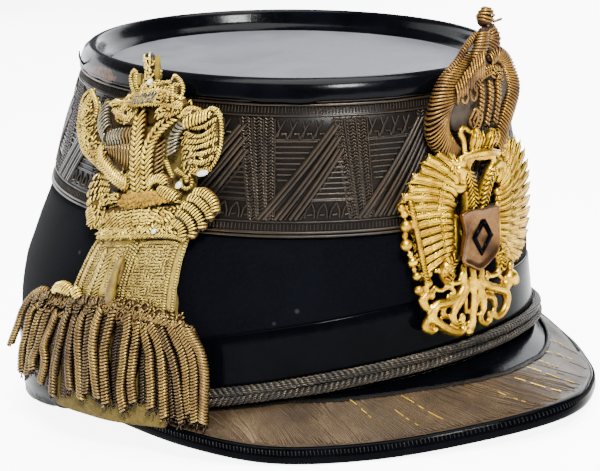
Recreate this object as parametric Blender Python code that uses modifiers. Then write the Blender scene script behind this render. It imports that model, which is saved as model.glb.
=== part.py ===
"""A stiff peaked shako with a lace band, a pierced front plate, a cockade and a fringed side badge.

The hat is modelled in its own frame, front towards -Y, with its lower rim in the plane z = 0.
An empty then tips it back onto the surface that it stands on: it rests on the rear of the
lower rim and on the two lowest stretches of the peak's binding.
"""
import math

import bmesh
import bpy
from mathutils import Vector

MM = 0.001
GAP = 0.3                      # millimetres left between touching pieces
AROUND = 48                    # facets round the hat

# The stance: how far the hat is tipped back, and the shift that centres its box on the origin.
TIP_BACK = 5.47                # degrees
LIFT = 9.71                    # millimetres
SHIFT_X = 4.97
SHIFT_Y = 18.5

# Sections of the outer wall, from the lower rim to the crest, in millimetres.
# Each is an ellipse in the plane z = height + slope * y.
# Columns: half width, half length, centre y, height, slope
SECTIONS = (
    (88.3, 103.0, 0.0, 0.0, 0.0),          # lower rim
    (88.0, 102.0, -3.1, 24.0, 0.0),        # top of the leather band
    (84.4, 98.4, -10.6, 46.0, 0.10),       # fullest part of the cloth
    (75.6, 89.4, -20.7, 68.9, 0.203),      # bottom of the lace
    (65.2, 79.0, -34.9, 112.5, 0.203),     # top of the lace
    (63.8, 77.6, -36.8, 118.5, 0.203),     # crest
)
RIM, LEATHER_TOP, CLOTH_FULL, LACE_BOTTOM, LACE_TOP, CREST = range(6)
LEATHER_FOOT = 0.0125          # the leather band stops just short of the rim
LACE_EDGE = 4.15               # the lace runs on a little under the crown's fold

SKIN_THICK = 1.1               # leather band and lace
SHELL_THICK = 2.5              # felt and cloth shell
SHELL_FACE = -SKIN_THICK - GAP
TOP_SHEET = 1.8                # leather of the crown
CROWN_SINK = 7.0               # depth of the sunk top below the crest

# The peak: how far its edge stands out from the lower rim and drops below it.
# Columns: angle from the front in degrees, reach, drop.
PEAK_ROWS = (
    (0.0, 35.5, 18.6),
    (15.0, 26.6, 19.2),
    (31.0, 17.2, 19.2),
    (47.0, 12.4, 16.3),
    (61.0, 9.0, 9.8),
    (76.0, 3.8, 2.6),
)
PEAK_END = 76.0
PEAK_THICK = 2.0
PEAK_STEPS = 28
PEAK_CLEAR = 0.55              # gaps from the peak to its binding and to its lace
LACE_CLEAR = 0.5
BINDING_WIDE = 3.4
BINDING_HIGH = 5.6
PEAK_LACE_WIDE = 17.0
PEAK_LACE_THICK = 0.8

CORD_DIAMETER = 2.7
CORD_HEIGHTS = (2.9, 5.9)
CORD_END = 70.0
BUTTON_ANGLE = 75.5
BUTTON_HEIGHT = 7.4

PLATE_BEND = 90.0              # radius that the front plate is bent to
PLATE_FOOT_Y = -104.1          # back of the plate at height 0
PLATE_RISE = 0.135             # how far it leans forward with height
PLATE_TURN = 6.0               # degrees it has slipped round its centre
PLATE_CENTRE = (2.6, 43.0)
CROWN_SHIFT = -3.2             # the plate's crown and its shield sit off the eagle's middle
CROWN_HALF = 6.4
SHIELD_SHIFT = -3.2

BADGE_ANGLE = 80.0             # middle of the side badge, degrees from the front
BADGE_RADIUS = 92.0


# ---------------------------------------------------------------- the wall
def mix(a, b, t):
    return a + (b - a) * t


def section_at(level):
    low = min(int(level), len(SECTIONS) - 2)
    part = level - low
    return [mix(p, q, part) for p, q in zip(SECTIONS[low], SECTIONS[low + 1])]


def ring(level, out=0.0, rise=0.0, count=AROUND):
    """Points of one section, grown outwards by `out` and lifted by `rise`."""
    half_width, half_length, centre_y, height, slope = section_at(level)
    points = []
    for step in range(count):
        angle = math.tau * step / count
        x = -(half_width + out) * math.sin(angle)
        y = centre_y - (half_length + out) * math.cos(angle)
        points.append((x, y, height + rise + slope * y))
    return points


def outward(angle, half_width=SECTIONS[0][0], half_length=SECTIONS[0][1]):
    nx = -math.sin(angle) * half_length
    ny = -math.cos(angle) * half_width
    size = math.hypot(nx, ny)
    return nx / size, ny / size


def wall_point(angle, height, out=0.0):
    """Point at an angle from the front (towards -X) and a height, `out` beyond the wall."""
    heights = [s[3] + s[4] * (s[2] - s[1] * math.cos(angle)) for s in SECTIONS]
    low = 0
    while low < len(SECTIONS) - 2 and height > heights[low + 1]:
        low += 1
    part = (height - heights[low]) / (heights[low + 1] - heights[low])
    half_width, half_length, centre_y = [
        mix(SECTIONS[low][i], SECTIONS[low + 1][i], part) for i in range(3)]
    nx, ny = outward(angle, half_width, half_length)
    x = -half_width * math.sin(angle) + nx * out
    y = centre_y - half_length * math.cos(angle) + ny * out
    return x, y, height


# ---------------------------------------------------------------- scene helpers
def clear_scene():
    for thing in list(bpy.data.objects):
        bpy.data.objects.remove(thing, do_unlink=True)


def make_material(name, colour, roughness, metallic=0.0):
    material = bpy.data.materials.new(name)
    material.use_nodes = True
    shader = material.node_tree.nodes["Principled BSDF"]
    shader.inputs["Base Color"].default_value = (*colour, 1.0)
    shader.inputs["Roughness"].default_value = roughness
    shader.inputs["Metallic"].default_value = metallic
    return material


def add_object(name, mesh, material):
    thing = bpy.data.objects.new(name, mesh)
    mesh.materials.append(material)
    HAT.objects.link(thing)
    thing.parent = STANCE
    return thing


def finish(bm, name, material, smooth_angle=40.0):
    """Turn millimetres into metres and make the object."""
    bmesh.ops.recalc_face_normals(bm, faces=bm.faces)
    for vert in bm.verts:
        vert.co *= MM
    mesh = bpy.data.meshes.new(name)
    bm.to_mesh(mesh)
    bm.free()
    mesh.shade_smooth()
    mesh.set_sharp_from_angle(angle=math.radians(smooth_angle))
    return add_object(name, mesh, material)


def loft(bm, rings, around=True, closed_profile=False):
    """Bridge rows of points. Rows close on themselves with `around`, and the last row
    joins the first with `closed_profile`; open ends are capped."""
    rows = [[bm.verts.new(p) for p in row] for row in rings]
    pairs = list(zip(rows, rows[1:]))
    if closed_profile:
        pairs.append((rows[-1], rows[0]))
    size = len(rows[0])
    for lower, upper in pairs:
        for i in range(size if around else size - 1):
            j = (i + 1) % size
            bm.faces.new((lower[i], lower[j], upper[j], upper[i]))
    if around and not closed_profile:
        bm.faces.new(rows[0])
        bm.faces.new(rows[-1])
    if not around and closed_profile:
        bm.faces.new([row[0] for row in rows])
        bm.faces.new([row[-1] for row in rows])
    return rows


def remesh_to(thing, voxel, keep):
    """Fuse the overlapping forms of a cast or embroidered piece into one skin."""
    fuse = thing.modifiers.new("fuse", "REMESH")
    fuse.mode = "VOXEL"
    fuse.voxel_size = voxel * MM
    thin = thing.modifiers.new("thin", "DECIMATE")
    thin.ratio = keep


# ---------------------------------------------------------------- forms for relief
def limb(bm, place, points, radii, sides=6, flatten=1.0):
    """A tapering rounded bar through (u, v, d) points, with its own radius at each."""
    rows = []
    for i, point in enumerate(points):
        here = Vector(point)
        before = Vector(points[max(i - 1, 0)])
        after = Vector(points[min(i + 1, len(points) - 1)])
        along = (after - before).normalized()
        across = along.cross(Vector((0.0, 0.0, 1.0)))
        if across.length < 0.1:
            across = Vector((1.0, 0.0, 0.0))
        across.normalize()
        up = across.cross(along).normalized()
        row = []
        for k in range(sides):
            turn = math.tau * (k + 0.5) / sides
            spot = here + across * math.cos(turn) * radii[i] + up * math.sin(turn) * radii[i] * flatten
            row.append(place(*spot))
        rows.append(row)
    loft(bm, rows)


def blob(bm, place, centre, size, segments=8, rings=6):
    """A rounded lump at (u, v, d) with half sizes along each."""
    made = bmesh.ops.create_uvsphere(bm, u_segments=segments, v_segments=rings, radius=1.0)
    for vert in made["verts"]:
        spot = [c + s * k for c, s, k in zip(centre, size, vert.co)]
        vert.co = place(*spot)


# ---------------------------------------------------------------- shell, bands and crown
def build_shell():
    face = SHELL_FACE
    back = face - SHELL_THICK
    top = CREST - 0.45
    outer = [ring(level, face) for level in (RIM, LEATHER_TOP, CLOTH_FULL, LACE_BOTTOM, LACE_TOP, top)]
    inner = [ring(level, back) for level in (top, LACE_TOP, LACE_BOTTOM, CLOTH_FULL, LEATHER_TOP, RIM)]
    bm = bmesh.new()
    loft(bm, outer + inner, closed_profile=True)
    finish(bm, "felt_shell", CLOTH)


def build_band(name, low, high, material):
    face = 0.0
    back = -SKIN_THICK
    bm = bmesh.new()
    rows = [ring(low, face), ring(high, face), ring(high, back), ring(low, back)]
    loft(bm, rows, closed_profile=True)
    finish(bm, name, material)


def build_crown():
    """Sunk leather top with a rounded rim that folds down over the lace's edge."""
    fold = LACE_TOP + 0.5
    outer = [
        ring(LACE_TOP, GAP),
        ring(LACE_TOP, GAP + 0.9),
        ring(fold, GAP + 0.9),
        ring(CREST, -0.4, -0.3),
        ring(CREST, -2.6, 0.6),
        ring(CREST, -5.2, -0.6),
        ring(CREST, -11.0, -CROWN_SINK),
    ]
    under = [
        ring(CREST, -11.5, -CROWN_SINK - TOP_SHEET),
        ring(CREST, -6.2, -2.6),
        ring(CREST, -3.0, -1.1),
        ring(fold, GAP),
    ]
    bm = bmesh.new()
    rows = loft(bm, outer)
    bmesh.ops.delete(bm, geom=[f for f in bm.faces if len(f.verts) == AROUND], context="FACES_ONLY")
    bm.faces.new(rows[-1])
    lower = [[bm.verts.new(p) for p in row] for row in under]
    chain = lower + [rows[0]]
    for near, far in zip(chain, chain[1:]):
        for i in range(AROUND):
            j = (i + 1) % AROUND
            bm.faces.new((near[i], near[j], far[j], far[i]))
    bm.faces.new(lower[0])
    finish(bm, "crown_top", PATENT)


# ---------------------------------------------------------------- peak
def peak_edge(degrees):
    """Reach and drop of the peak's edge at an angle, smooth through the rows."""
    at = abs(degrees)
    rows = [(-PEAK_ROWS[1][0],) + PEAK_ROWS[1][1:]] + list(PEAK_ROWS)
    rows.append((2 * PEAK_ROWS[-1][0] - PEAK_ROWS[-2][0], -1.0, -3.0))
    i = 1
    while i < len(rows) - 3 and at > rows[i + 1][0]:
        i += 1
    a, b, c, d = rows[i - 1:i + 3]
    t = (at - b[0]) / (c[0] - b[0])
    width = c[0] - b[0]
    result = []
    for k in (1, 2):
        slope_b = (c[k] - a[k]) / (c[0] - a[0]) * width
        slope_c = (d[k] - b[k]) / (d[0] - b[0]) * width
        result.append((2 * t**3 - 3 * t**2 + 1) * b[k] + (t**3 - 2 * t**2 + t) * slope_b
                      + (3 * t**2 - 2 * t**3) * c[k] + (t**3 - t**2) * slope_c)
    return result


def peak_point(degrees, out, height):
    angle = math.radians(degrees)
    nx, ny = outward(angle)
    x = -SECTIONS[0][0] * math.sin(angle) + nx * out
    y = -SECTIONS[0][1] * math.cos(angle) + ny * out
    return x, y, height


def peak_height(out, reach, drop):
    """Height of the peak's upper face at a distance out from the rim."""
    part = max(0.0, out) / reach
    top_of_edge = drop - 0.55 * BINDING_HIGH
    return -GAP - top_of_edge * (0.8 * part + 0.2 * part * part)


def peak_angles(end, steps=PEAK_STEPS):
    return [mix(-end, end, i / steps) for i in range(steps + 1)]


def build_peak():
    rows = []
    for degrees in peak_angles(PEAK_END):
        reach, drop = peak_edge(degrees)
        edge = reach - BINDING_WIDE - PEAK_CLEAR
        start = min(0.4, edge - 0.8)
        outs = (-3.4, start, mix(start, edge, 0.5), edge)
        top = [peak_point(degrees, o, peak_height(o, reach, drop)) for o in outs]
        low = [(x, y, z - PEAK_THICK) for x, y, z in reversed(top)]
        rows.append(top + low)
    bm = bmesh.new()
    loft(bm, rows)
    finish(bm, "peak", PATENT, 60.0)


def build_peak_lace():
    rows = []
    for degrees in peak_angles(PEAK_END - 4.0, 24):
        reach, drop = peak_edge(degrees)
        edge = reach - BINDING_WIDE - GAP
        slope = math.atan2(drop - 0.5 * BINDING_HIGH, reach)
        start = max(0.7, edge - PEAK_LACE_WIDE * math.cos(slope))
        rise = LACE_CLEAR / math.cos(slope)
        low = [peak_point(degrees, o, peak_height(o, reach, drop) + rise)
               for o in (start, mix(start, edge, 0.5), edge)]
        top = [(x, y, z + PEAK_LACE_THICK / math.cos(slope)) for x, y, z in reversed(low)]
        rows.append(low + top)
    bm = bmesh.new()
    loft(bm, rows)
    finish(bm, "peak_lace", PEAK_BRAID, 60.0)


def build_binding():
    """Rounded leather edge, an upright bar along the rim of the peak."""
    rows = []
    half = BINDING_WIDE / 2
    for degrees in peak_angles(PEAK_END):
        reach, drop = peak_edge(degrees)
        high = min(BINDING_HIGH, drop + 1.6)
        row = []
        for k in range(8):
            turn = math.tau * (k + 0.5) / 8
            out = reach - half + half * math.cos(turn) / math.cos(math.pi / 8)
            up = -drop + high / 2 + high / 2 * math.sin(turn) / math.cos(math.pi / 8)
            row.append(peak_point(degrees, out, up))
        rows.append(row)
    bm = bmesh.new()
    loft(bm, rows)
    finish(bm, "peak_binding", PATENT, 60.0)


# ---------------------------------------------------------------- cord and buttons
def build_cord(name, height):
    curve = bpy.data.curves.new(name, "CURVE")
    curve.dimensions = "3D"
    curve.bevel_depth = CORD_DIAMETER / 2 * MM
    curve.bevel_resolution = 2
    curve.use_fill_caps = True
    spline = curve.splines.new("POLY")
    route = []
    for degrees in peak_angles(CORD_END, 26):
        out = CORD_DIAMETER / 2 + 0.25
        route.append(wall_point(math.radians(degrees), height, out))
    spline.points.add(len(route) - 1)
    for point, (x, y, z) in zip(spline.points, route):
        point.co = (x * MM, y * MM, z * MM, 1.0)
    add_object(name, curve, CORD)


def build_button(name, degrees):
    """A small domed button with its back against the leather band."""
    bm = bmesh.new()
    profile = ((4.2, 0.0), (4.4, 0.8), (3.7, 1.8), (1.6, 2.7))
    angle = math.radians(degrees)
    nx, ny = outward(angle)
    out_way = Vector((nx, ny, 0.0))
    side = Vector((-ny, nx, 0.0))
    seat = Vector(wall_point(angle, BUTTON_HEIGHT, GAP + 0.15))
    rows = []
    for radius, depth in profile:
        row = []
        for k in range(12):
            turn = math.tau * k / 12
            spot = seat + out_way * depth + side * radius * math.cos(turn)
            spot.z += radius * math.sin(turn)
            row.append(spot)
        rows.append(row)
    loft(bm, rows)
    finish(bm, name, GILT)


# ---------------------------------------------------------------- front plate
def plate_place(u, v, d):
    """Flat plate coordinates (across, up, out) to the bent and slightly turned plate."""
    turn = math.radians(PLATE_TURN)
    du = u
    dv = v - PLATE_CENTRE[1]
    across = PLATE_CENTRE[0] + du * math.cos(turn) + dv * math.sin(turn)
    up = PLATE_CENTRE[1] - du * math.sin(turn) + dv * math.cos(turn)
    bend = across / PLATE_BEND
    radius = PLATE_BEND + d
    foot = PLATE_FOOT_Y - PLATE_RISE * up + PLATE_BEND
    return radius * math.sin(bend), foot - radius * math.cos(bend), up


def wing_feathers():
    """Root, tip and half width of each feather of the wing towards +u."""
    feathers = []
    # Columns: root u, root v, tip u, tip v, half width
    table = (
        (7.0, 60.0, 11.5, 69.0, 2.0),
        (8.5, 60.5, 17.0, 69.8, 2.2),
        (9.5, 60.0, 22.3, 68.2, 2.3),
        (10.5, 58.5, 26.4, 65.0, 2.4),
        (11.2, 56.5, 29.4, 60.6, 2.4),
        (11.6, 54.2, 31.4, 55.6, 2.4),
        (11.8, 52.0, 32.0, 50.4, 2.4),
        (11.6, 49.8, 31.6, 45.4, 2.4),
        (11.2, 47.6, 30.2, 40.6, 2.3),
        (10.6, 45.6, 28.2, 36.2, 2.2),
        (9.8, 43.6, 25.6, 32.2, 2.1),
        (8.8, 41.4, 23.4, 27.8, 1.9),
    )
    for root_u, root_v, tip_u, tip_v, half in table:
        feathers.append(((root_u, root_v), (tip_u, tip_v), half))
    return feathers


def plate_limbs():
    """Rounded bars of the half of the eagle towards +u: points and radii."""
    neck = [(3.0, 51.0, 1.8), (4.2, 56.0, 3.0), (4.8, 61.4, 4.0), (7.8, 65.0, 4.4)]
    beak = [(7.8, 65.0, 4.2), (12.0, 63.6, 3.4)]
    arm = [(7.0, 47.0, 2.0), (11.5, 50.0, 2.2), (12.0, 55.0, 2.2), (8.5, 60.5, 2.2)]
    leg = [(5.0, 33.0, 2.2), (10.0, 28.5, 2.6), (15.0, 26.5, 2.4)]
    tail_outer = [(3.0, 28.0, 1.8), (8.0, 20.0, 2.0), (14.0, 15.6, 2.0), (18.6, 17.0, 2.0), (17.4, 20.6, 1.8)]
    tail_inner = [(1.5, 28.0, 2.0), (4.2, 18.0, 2.2), (7.6, 12.2, 2.2), (11.4, 11.6, 1.9)]
    return (
        (neck, (2.6, 2.1, 1.9, 2.3)),
        (beak, (1.9, 0.8)),
        (arm, (2.4, 2.4, 2.3, 1.8)),
        (leg, (2.0, 1.8, 1.3)),
        (tail_outer, (1.6, 1.6, 1.5, 1.3, 1.0)),
        (tail_inner, (1.8, 1.8, 1.6, 1.2)),
    )


def build_plate():
    bm = bmesh.new()
    for side in (1.0, -1.0):
        for points, radii in plate_limbs():
            limb(bm, plate_place, [(side * u, v, d) for u, v, d in points], radii)
        for (root_u, root_v), (tip_u, tip_v), half in wing_feathers():
            middle = (mix(root_u, tip_u, 0.6), mix(root_v, tip_v, 0.6))
            path = [(root_u, root_v, 1.7), (*middle, 2.2), (tip_u, tip_v, 1.5)]
            path = [(side * u, v, d) for u, v, d in path]
            limb(bm, plate_place, path, (half * 0.8, half, half * 0.45), flatten=0.6)
        blob(bm, plate_place, (side * 17.5, 24.6, 2.6), (3.2, 3.2, 2.0))
    blob(bm, plate_place, (0.0, 42.0, 2.4), (8.5, 14.5, 2.3), 12, 8)
    limb(bm, plate_place, [(0.0, 28.0, 2.0), (0.0, 10.6, 2.0)], (2.2, 2.6), flatten=0.7)
    left, right = -CROWN_HALF + CROWN_SHIFT, CROWN_HALF + CROWN_SHIFT
    limb(bm, plate_place, [(left, 68.4, 6.0), (right, 68.4, 6.0)], (1.8, 1.8), flatten=0.9)
    for side in (-1.0, 0.0, 1.0):
        foot = (side * 5.6 + CROWN_SHIFT, 68.8, 6.0)
        tip = (side * 3.4 + CROWN_SHIFT, 74.6, 6.0)
        limb(bm, plate_place, [foot, tip], (1.9, 1.5), flatten=0.9)
    thing = finish(bm, "eagle_plate", GILT)
    remesh_to(thing, 0.9, 0.10)


def build_shield():
    """Heater shield on the eagle's breast, with a slot sunk through its middle."""
    bm = bmesh.new()
    half = 7.4
    outline = [(half, 49.6), (half + 0.5, 42.0), (half - 0.6, 33.5), (3.6, 30.0), (0.0, 29.2)]
    outline += [(-u, v) for u, v in reversed(outline[:-1])]
    slot = [(2.2, 47.0), (2.2, 42.0), (2.2, 37.0), (1.1, 35.2), (0.0, 34.6)]
    slot += [(-u, v) for u, v in reversed(slot[:-1])]
    outline = [(u + SHIELD_SHIFT, v) for u, v in outline]
    slot = [(u + SHIELD_SHIFT, v) for u, v in slot]
    front = 7.4
    back = 5.6
    rows = [
        [plate_place(u, v, front) for u, v in outline],
        [plate_place(u, v, back) for u, v in outline],
        [plate_place(u, v, back) for u, v in slot],
        [plate_place(u, v, front) for u, v in slot],
    ]
    loft(bm, rows, closed_profile=True)
    finish(bm, "plate_shield", COPPER)


# ---------------------------------------------------------------- cockade
COCKADE_TOP_Y = -119.2
COCKADE_FOOT_Y = -114.3
COCKADE_HALF = 17.0            # half width and the heights above and below the middle
COCKADE_UPPER = 15.8
COCKADE_LOWER = 14.2


def cockade_place(u, v, d):
    part = min(1.0, max(0.0, (v - 70.0) / 18.0))
    smooth = part * part * (3 - 2 * part)
    return u, mix(COCKADE_FOOT_Y, COCKADE_TOP_Y, smooth) - d, v


def cockade_oval(turn, grow=1.0):
    """Point of the cockade's leaning oval; turn 0 is its top."""
    wide = COCKADE_HALF * grow * math.sin(turn)
    tall = grow * math.cos(turn) * (COCKADE_UPPER if math.cos(turn) > 0.0 else COCKADE_LOWER)
    if tall > 0.0:
        wide *= 1.0 - 0.16 * (tall / COCKADE_UPPER) ** 2
    lean = 0.30 * (tall + 4.0)
    return 2.2 + wide + lean, 85.4 + tall


def build_cockade():
    bm = bmesh.new()
    points = []
    radii = []
    for step in range(29):
        turn = math.radians(21.0 + 318.0 * step / 28)
        u, v = cockade_oval(turn)
        points.append((u, v, 0.0))
        radii.append(mix(1.7, 3.4, min(1.0, max(0.0, (v - 69.0) / 14.0))))
    limb(bm, cockade_place, points, radii, sides=8)
    thing = finish(bm, "cockade_ring", BULLION)
    remesh_to(thing, 1.1, 0.16)

    bm = bmesh.new()
    for depth in (1.2, -0.9):
        row = [bm.verts.new(cockade_place(*cockade_oval(math.tau * k / 24, 0.74), depth)) for k in range(24)]
        bm.faces.new(row)
    front, back = bm.faces
    for k in range(24):
        j = (k + 1) % 24
        bm.faces.new((front.verts[k], front.verts[j], back.verts[j], back.verts[k]))
    finish(bm, "cockade_field", BULLION)

    bm = bmesh.new()
    for u in (-1.4, 2.4, 6.2, 10.0):
        lean = 2.4
        limb(bm, cockade_place, [(u - lean, 79.5, 2.9), (u, 86.0, 3.3), (u + lean, 92.5, 2.9)], (1.1, 1.5, 1.1))
    limb(bm, cockade_place, [(-3.6, 80.6, 2.8), (9.4, 80.0, 2.8)], (0.9, 0.9))
    thing = finish(bm, "cockade_bars", BULLION)
    remesh_to(thing, 0.9, 0.18)

    bm = bmesh.new()
    limb(bm, cockade_place, [(8.4, 101.0, 0.2), (10.6, 103.6, 0.4), (12.8, 106.6, 0.4)], (3.0, 3.4, 2.4), sides=8)
    blob(bm, cockade_place, (13.8, 108.6, 0.4), (3.1, 2.9, 2.9))
    blob(bm, cockade_place, (15.6, 105.6, 0.4), (2.2, 1.8, 2.0))
    thing = finish(bm, "cockade_tuft", BULLION)
    remesh_to(thing, 1.1, 0.28)


# ---------------------------------------------------------------- side badge
def badge_place(u, v, d):
    """Badge coordinates: across (towards the front), up, and out from the wall."""
    angle = math.radians(BADGE_ANGLE) - u / BADGE_RADIUS
    return wall_point(angle, v, d)


# Outline of the yellow felt, from the top down.
# Columns: left height, right height, left edge, right edge, stand-off from the wall.
FELT_ROWS = (
    (114.5, 114.5, -9.0, -4.0, 2.4),
    (108.0, 106.0, -14.0, 4.0, 2.4),
    (101.0, 98.0, -31.0, 11.5, 2.2),
    (92.0, 92.0, -34.0, 22.0, 1.2),
    (80.0, 80.0, -22.0, 21.0, 0.4),
    (72.0, 71.0, -17.0, 22.0, 0.4),
    (58.0, 57.0, -14.0, 22.6, 0.4),
    (44.0, 42.0, -18.0, 26.0, 0.4),
    (30.0, 28.0, -26.0, 30.0, 0.4),
    (16.0, 13.0, -26.0, 31.0, 3.8),
    (8.0, 6.0, -25.0, 29.0, 5.4),
    (3.6, 0.2, -22.0, 23.0, 6.0),
)
FELT_SAG = 1.6                 # belly of the lower edge
FELT_THICK = 1.1
FELT_COLUMNS = 6


def build_felt():
    bm = bmesh.new()
    rows = []
    for high_left, high_right, left, right, stand in FELT_ROWS:
        parts = [k / FELT_COLUMNS for k in range(FELT_COLUMNS + 1)]
        sag = FELT_SAG if high_left < 4.0 else 0.0
        spots = [(mix(left, right, t), mix(high_left, high_right, t) - sag * math.sin(math.pi * t))
                 for t in parts]
        near = [badge_place(u, v, stand) for u, v in spots]
        far = [badge_place(u, v, stand + FELT_THICK) for u, v in reversed(spots)]
        rows.append(near + far)
    loft(bm, rows)
    finish(bm, "badge_felt", FELT)


def build_badge_eagle():
    """Crown, two heads on plaited necks and two spread wings, embroidered as one."""
    bm = bmesh.new()
    place = badge_place
    limb(bm, place, [(-6.6, 104.0, 5.8), (-6.8, 115.4, 5.8)], (1.5, 1.5))
    limb(bm, place, [(-10.0, 112.0, 5.8), (-3.2, 111.6, 5.8)], (1.4, 1.4))
    limb(bm, place, [(-14.6, 100.6, 6.2), (-1.0, 99.0, 6.8), (12.0, 98.4, 6.2)], (2.3, 2.8, 2.3))
    limb(bm, place, [(-14.8, 101.6, 5.9), (-15.2, 107.4, 5.6)], (1.9, 1.2))
    limb(bm, place, [(11.4, 99.4, 5.9), (9.8, 105.4, 5.6)], (1.9, 1.2))
    limb(bm, place, [(-10.5, 104.6, 6.0), (-3.0, 106.2, 6.4), (5.5, 104.0, 6.0)], (2.0, 2.3, 2.0))
    limb(bm, place, [(-5.5, 95.5, 5.0), (-3.4, 84.0, 6.4), (0.6, 75.4, 6.0)], (2.2, 2.6, 2.2))
    limb(bm, place, [(6.8, 95.5, 5.0), (3.8, 85.0, 6.6), (3.4, 75.4, 6.0)], (2.2, 2.6, 2.2))
    for side, centre, base in ((-1.0, -16.5, 97.6), (1.0, 12.5, 94.6)):
        blob(bm, place, (centre, base, 5.6), (4.6, 3.4, 2.4))
        limb(bm, place, [(centre + side * 3.0, base, 5.4), (centre + side * 7.4, base - 2.6, 5.0)], (1.8, 1.0))
    wings = (
        (-1.0, (-14.5, 88.0), ((-36.0, 103.5), (-37.5, 96.0), (-34.5, 89.0), (-29.5, 84.0), (-23.5, 81.6))),
        (1.0, (10.0, 86.0), ((24.5, 96.0), (28.4, 90.5), (28.8, 84.5), (26.0, 79.2), (20.5, 77.0))),
    )
    for _, root, tips in wings:
        for tip in tips:
            middle = (mix(root[0], tip[0], 0.55), mix(root[1], tip[1], 0.55))
            path = [(*root, 4.6), (*middle, 5.2), (*tip, 5.0)]
            limb(bm, place, path, (2.4, 3.0, 1.8), flatten=0.65)
    thing = finish(bm, "badge_eagle", BULLION)
    remesh_to(thing, 1.1, 0.13)


def build_badge_scroll():
    """Rolled crossbar, chest and the two banded sleeves under the eagle."""
    bm = bmesh.new()
    place = badge_place
    limb(bm, place, [(-12.8, 70.0, 5.4), (0.4, 69.0, 6.8), (14.4, 69.4, 5.4)], (1.7, 1.9, 1.7), sides=8)
    limb(bm, place, [(-21.0, 75.4, 4.9), (-19.4, 69.0, 5.3), (-15.0, 62.4, 5.3)], (2.8, 3.3, 2.6), flatten=0.8)
    limb(bm, place, [(25.4, 71.0, 5.4), (26.4, 65.6, 6.0), (21.8, 60.4, 5.4)], (3.2, 3.8, 2.8), flatten=0.85)
    limb(bm, place, [(-15.0, 62.0, 5.0), (3.0, 61.4, 5.8), (21.0, 59.6, 5.0)], (3.6, 4.8, 3.6), sides=8, flatten=0.6)
    thing = finish(bm, "badge_scroll", BULLION)
    remesh_to(thing, 1.1, 0.16)


def build_badge_panel():
    """Stiff lower panel in two flaps, fused along the middle."""
    bm = bmesh.new()
    rows = []
    # Columns: height at the left, height at the right, left edge, right edge
    table = ((55.0, 53.4, -14.2, 22.4), (48.0, 45.0, -15.0, 24.0), (42.0, 37.0, -15.0, 25.6))
    for high_left, high_right, left, right in table:
        near = []
        far = []
        for k in range(9):
            t = k / 8
            u = mix(left, right, t)
            v = mix(high_left, high_right, t)
            crest = 3.7 if k != 4 else 2.9
            near.append(badge_place(u, v, 2.35))
            far.append(badge_place(u, v, crest))
        rows.append(near + far[::-1])
    loft(bm, rows)
    finish(bm, "badge_panel", BULLION)


def build_badge_loop():
    """Small leather loop hanging in front of the panel."""
    bm = bmesh.new()
    path = [(0.6, 50.0, 4.9), (-0.4, 51.8, 6.8), (1.2, 50.8, 8.4), (3.4, 45.0, 8.2), (5.4, 41.6, 6.4)]
    limb(bm, badge_place, path, (1.4, 1.6, 1.7, 2.2, 1.6), sides=8)
    finish(bm, "badge_loop", FELT)


FRINGE_COUNT = 19


def fringe_head(u):
    """Height of the twisted head that the fringe hangs from."""
    return 41.0 - 0.125 * (u + 41.0)


def fringe_foot(u):
    """Height of the fringe's lower ends."""
    part = (u + 41.0) / 78.0
    return 13.5 - 17.0 * part


def build_fringe():
    """Bullion strands united with the twisted head that they hang from."""
    parts = []
    bm = bmesh.new()
    head = [(u, fringe_head(u), 4.3) for u in [mix(-40.0, 29.0, k / 16) for k in range(17)]]
    limb(bm, badge_place, head, [2.3] * len(head), sides=8)
    body = finish(bm, "badge_fringe", BULLION)
    for k in range(FRINGE_COUNT):
        t = k / (FRINGE_COUNT - 1)
        top = mix(-38.6, 27.8, t)
        foot = mix(-41.5, 37.0, t)
        bm = bmesh.new()
        path = [
            (top, fringe_head(top) + 0.6, 6.0),
            (mix(top, foot, 0.25), mix(fringe_head(top), fringe_foot(foot), 0.3), 8.2),
            (mix(top, foot, 0.7), mix(fringe_head(top), fringe_foot(foot), 0.7), 9.3),
            (foot, fringe_foot(foot), 9.8),
        ]
        limb(bm, badge_place, path, (1.4, 1.6, 1.6, 1.4), sides=5)
        parts.append(finish(bm, "strand", BULLION))
    strands = bpy.data.collections.new("strands")
    bpy.context.scene.collection.children.link(strands)
    for part in parts:
        HAT.objects.unlink(part)
        strands.objects.link(part)
        part.display_type = "WIRE"
        part.hide_render = True
    union = body.modifiers.new("join", "BOOLEAN")
    union.operation = "UNION"
    union.operand_type = "COLLECTION"
    union.collection = strands


# ---------------------------------------------------------------- the object
clear_scene()
HAT = bpy.data.collections.new("shako")
bpy.context.scene.collection.children.link(HAT)
STANCE = bpy.data.objects.new("stance", None)
HAT.objects.link(STANCE)
STANCE.rotation_euler = (math.radians(-TIP_BACK), 0.0, 0.0)
STANCE.location = (SHIFT_X * MM, SHIFT_Y * MM, LIFT * MM)

CLOTH = make_material("black_cloth", (0.008, 0.010, 0.016), 0.9)
PATENT = make_material("black_patent_leather", (0.012, 0.014, 0.018), 0.25)
LACE = make_material("tarnished_lace", (0.10, 0.075, 0.045), 0.6, 0.4)
PEAK_BRAID = make_material("peak_lace", (0.22, 0.15, 0.08), 0.6, 0.4)
CORD = make_material("dark_cord", (0.05, 0.045, 0.03), 0.6, 0.3)
GILT = make_material("gilt_metal", (0.75, 0.50, 0.16), 0.3, 1.0)
COPPER = make_material("copper_shield", (0.35, 0.20, 0.10), 0.4, 1.0)
BULLION = make_material("gold_bullion", (0.45, 0.30, 0.12), 0.5, 0.7)
FELT = make_material("yellow_felt", (0.60, 0.42, 0.05), 0.9)

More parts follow.
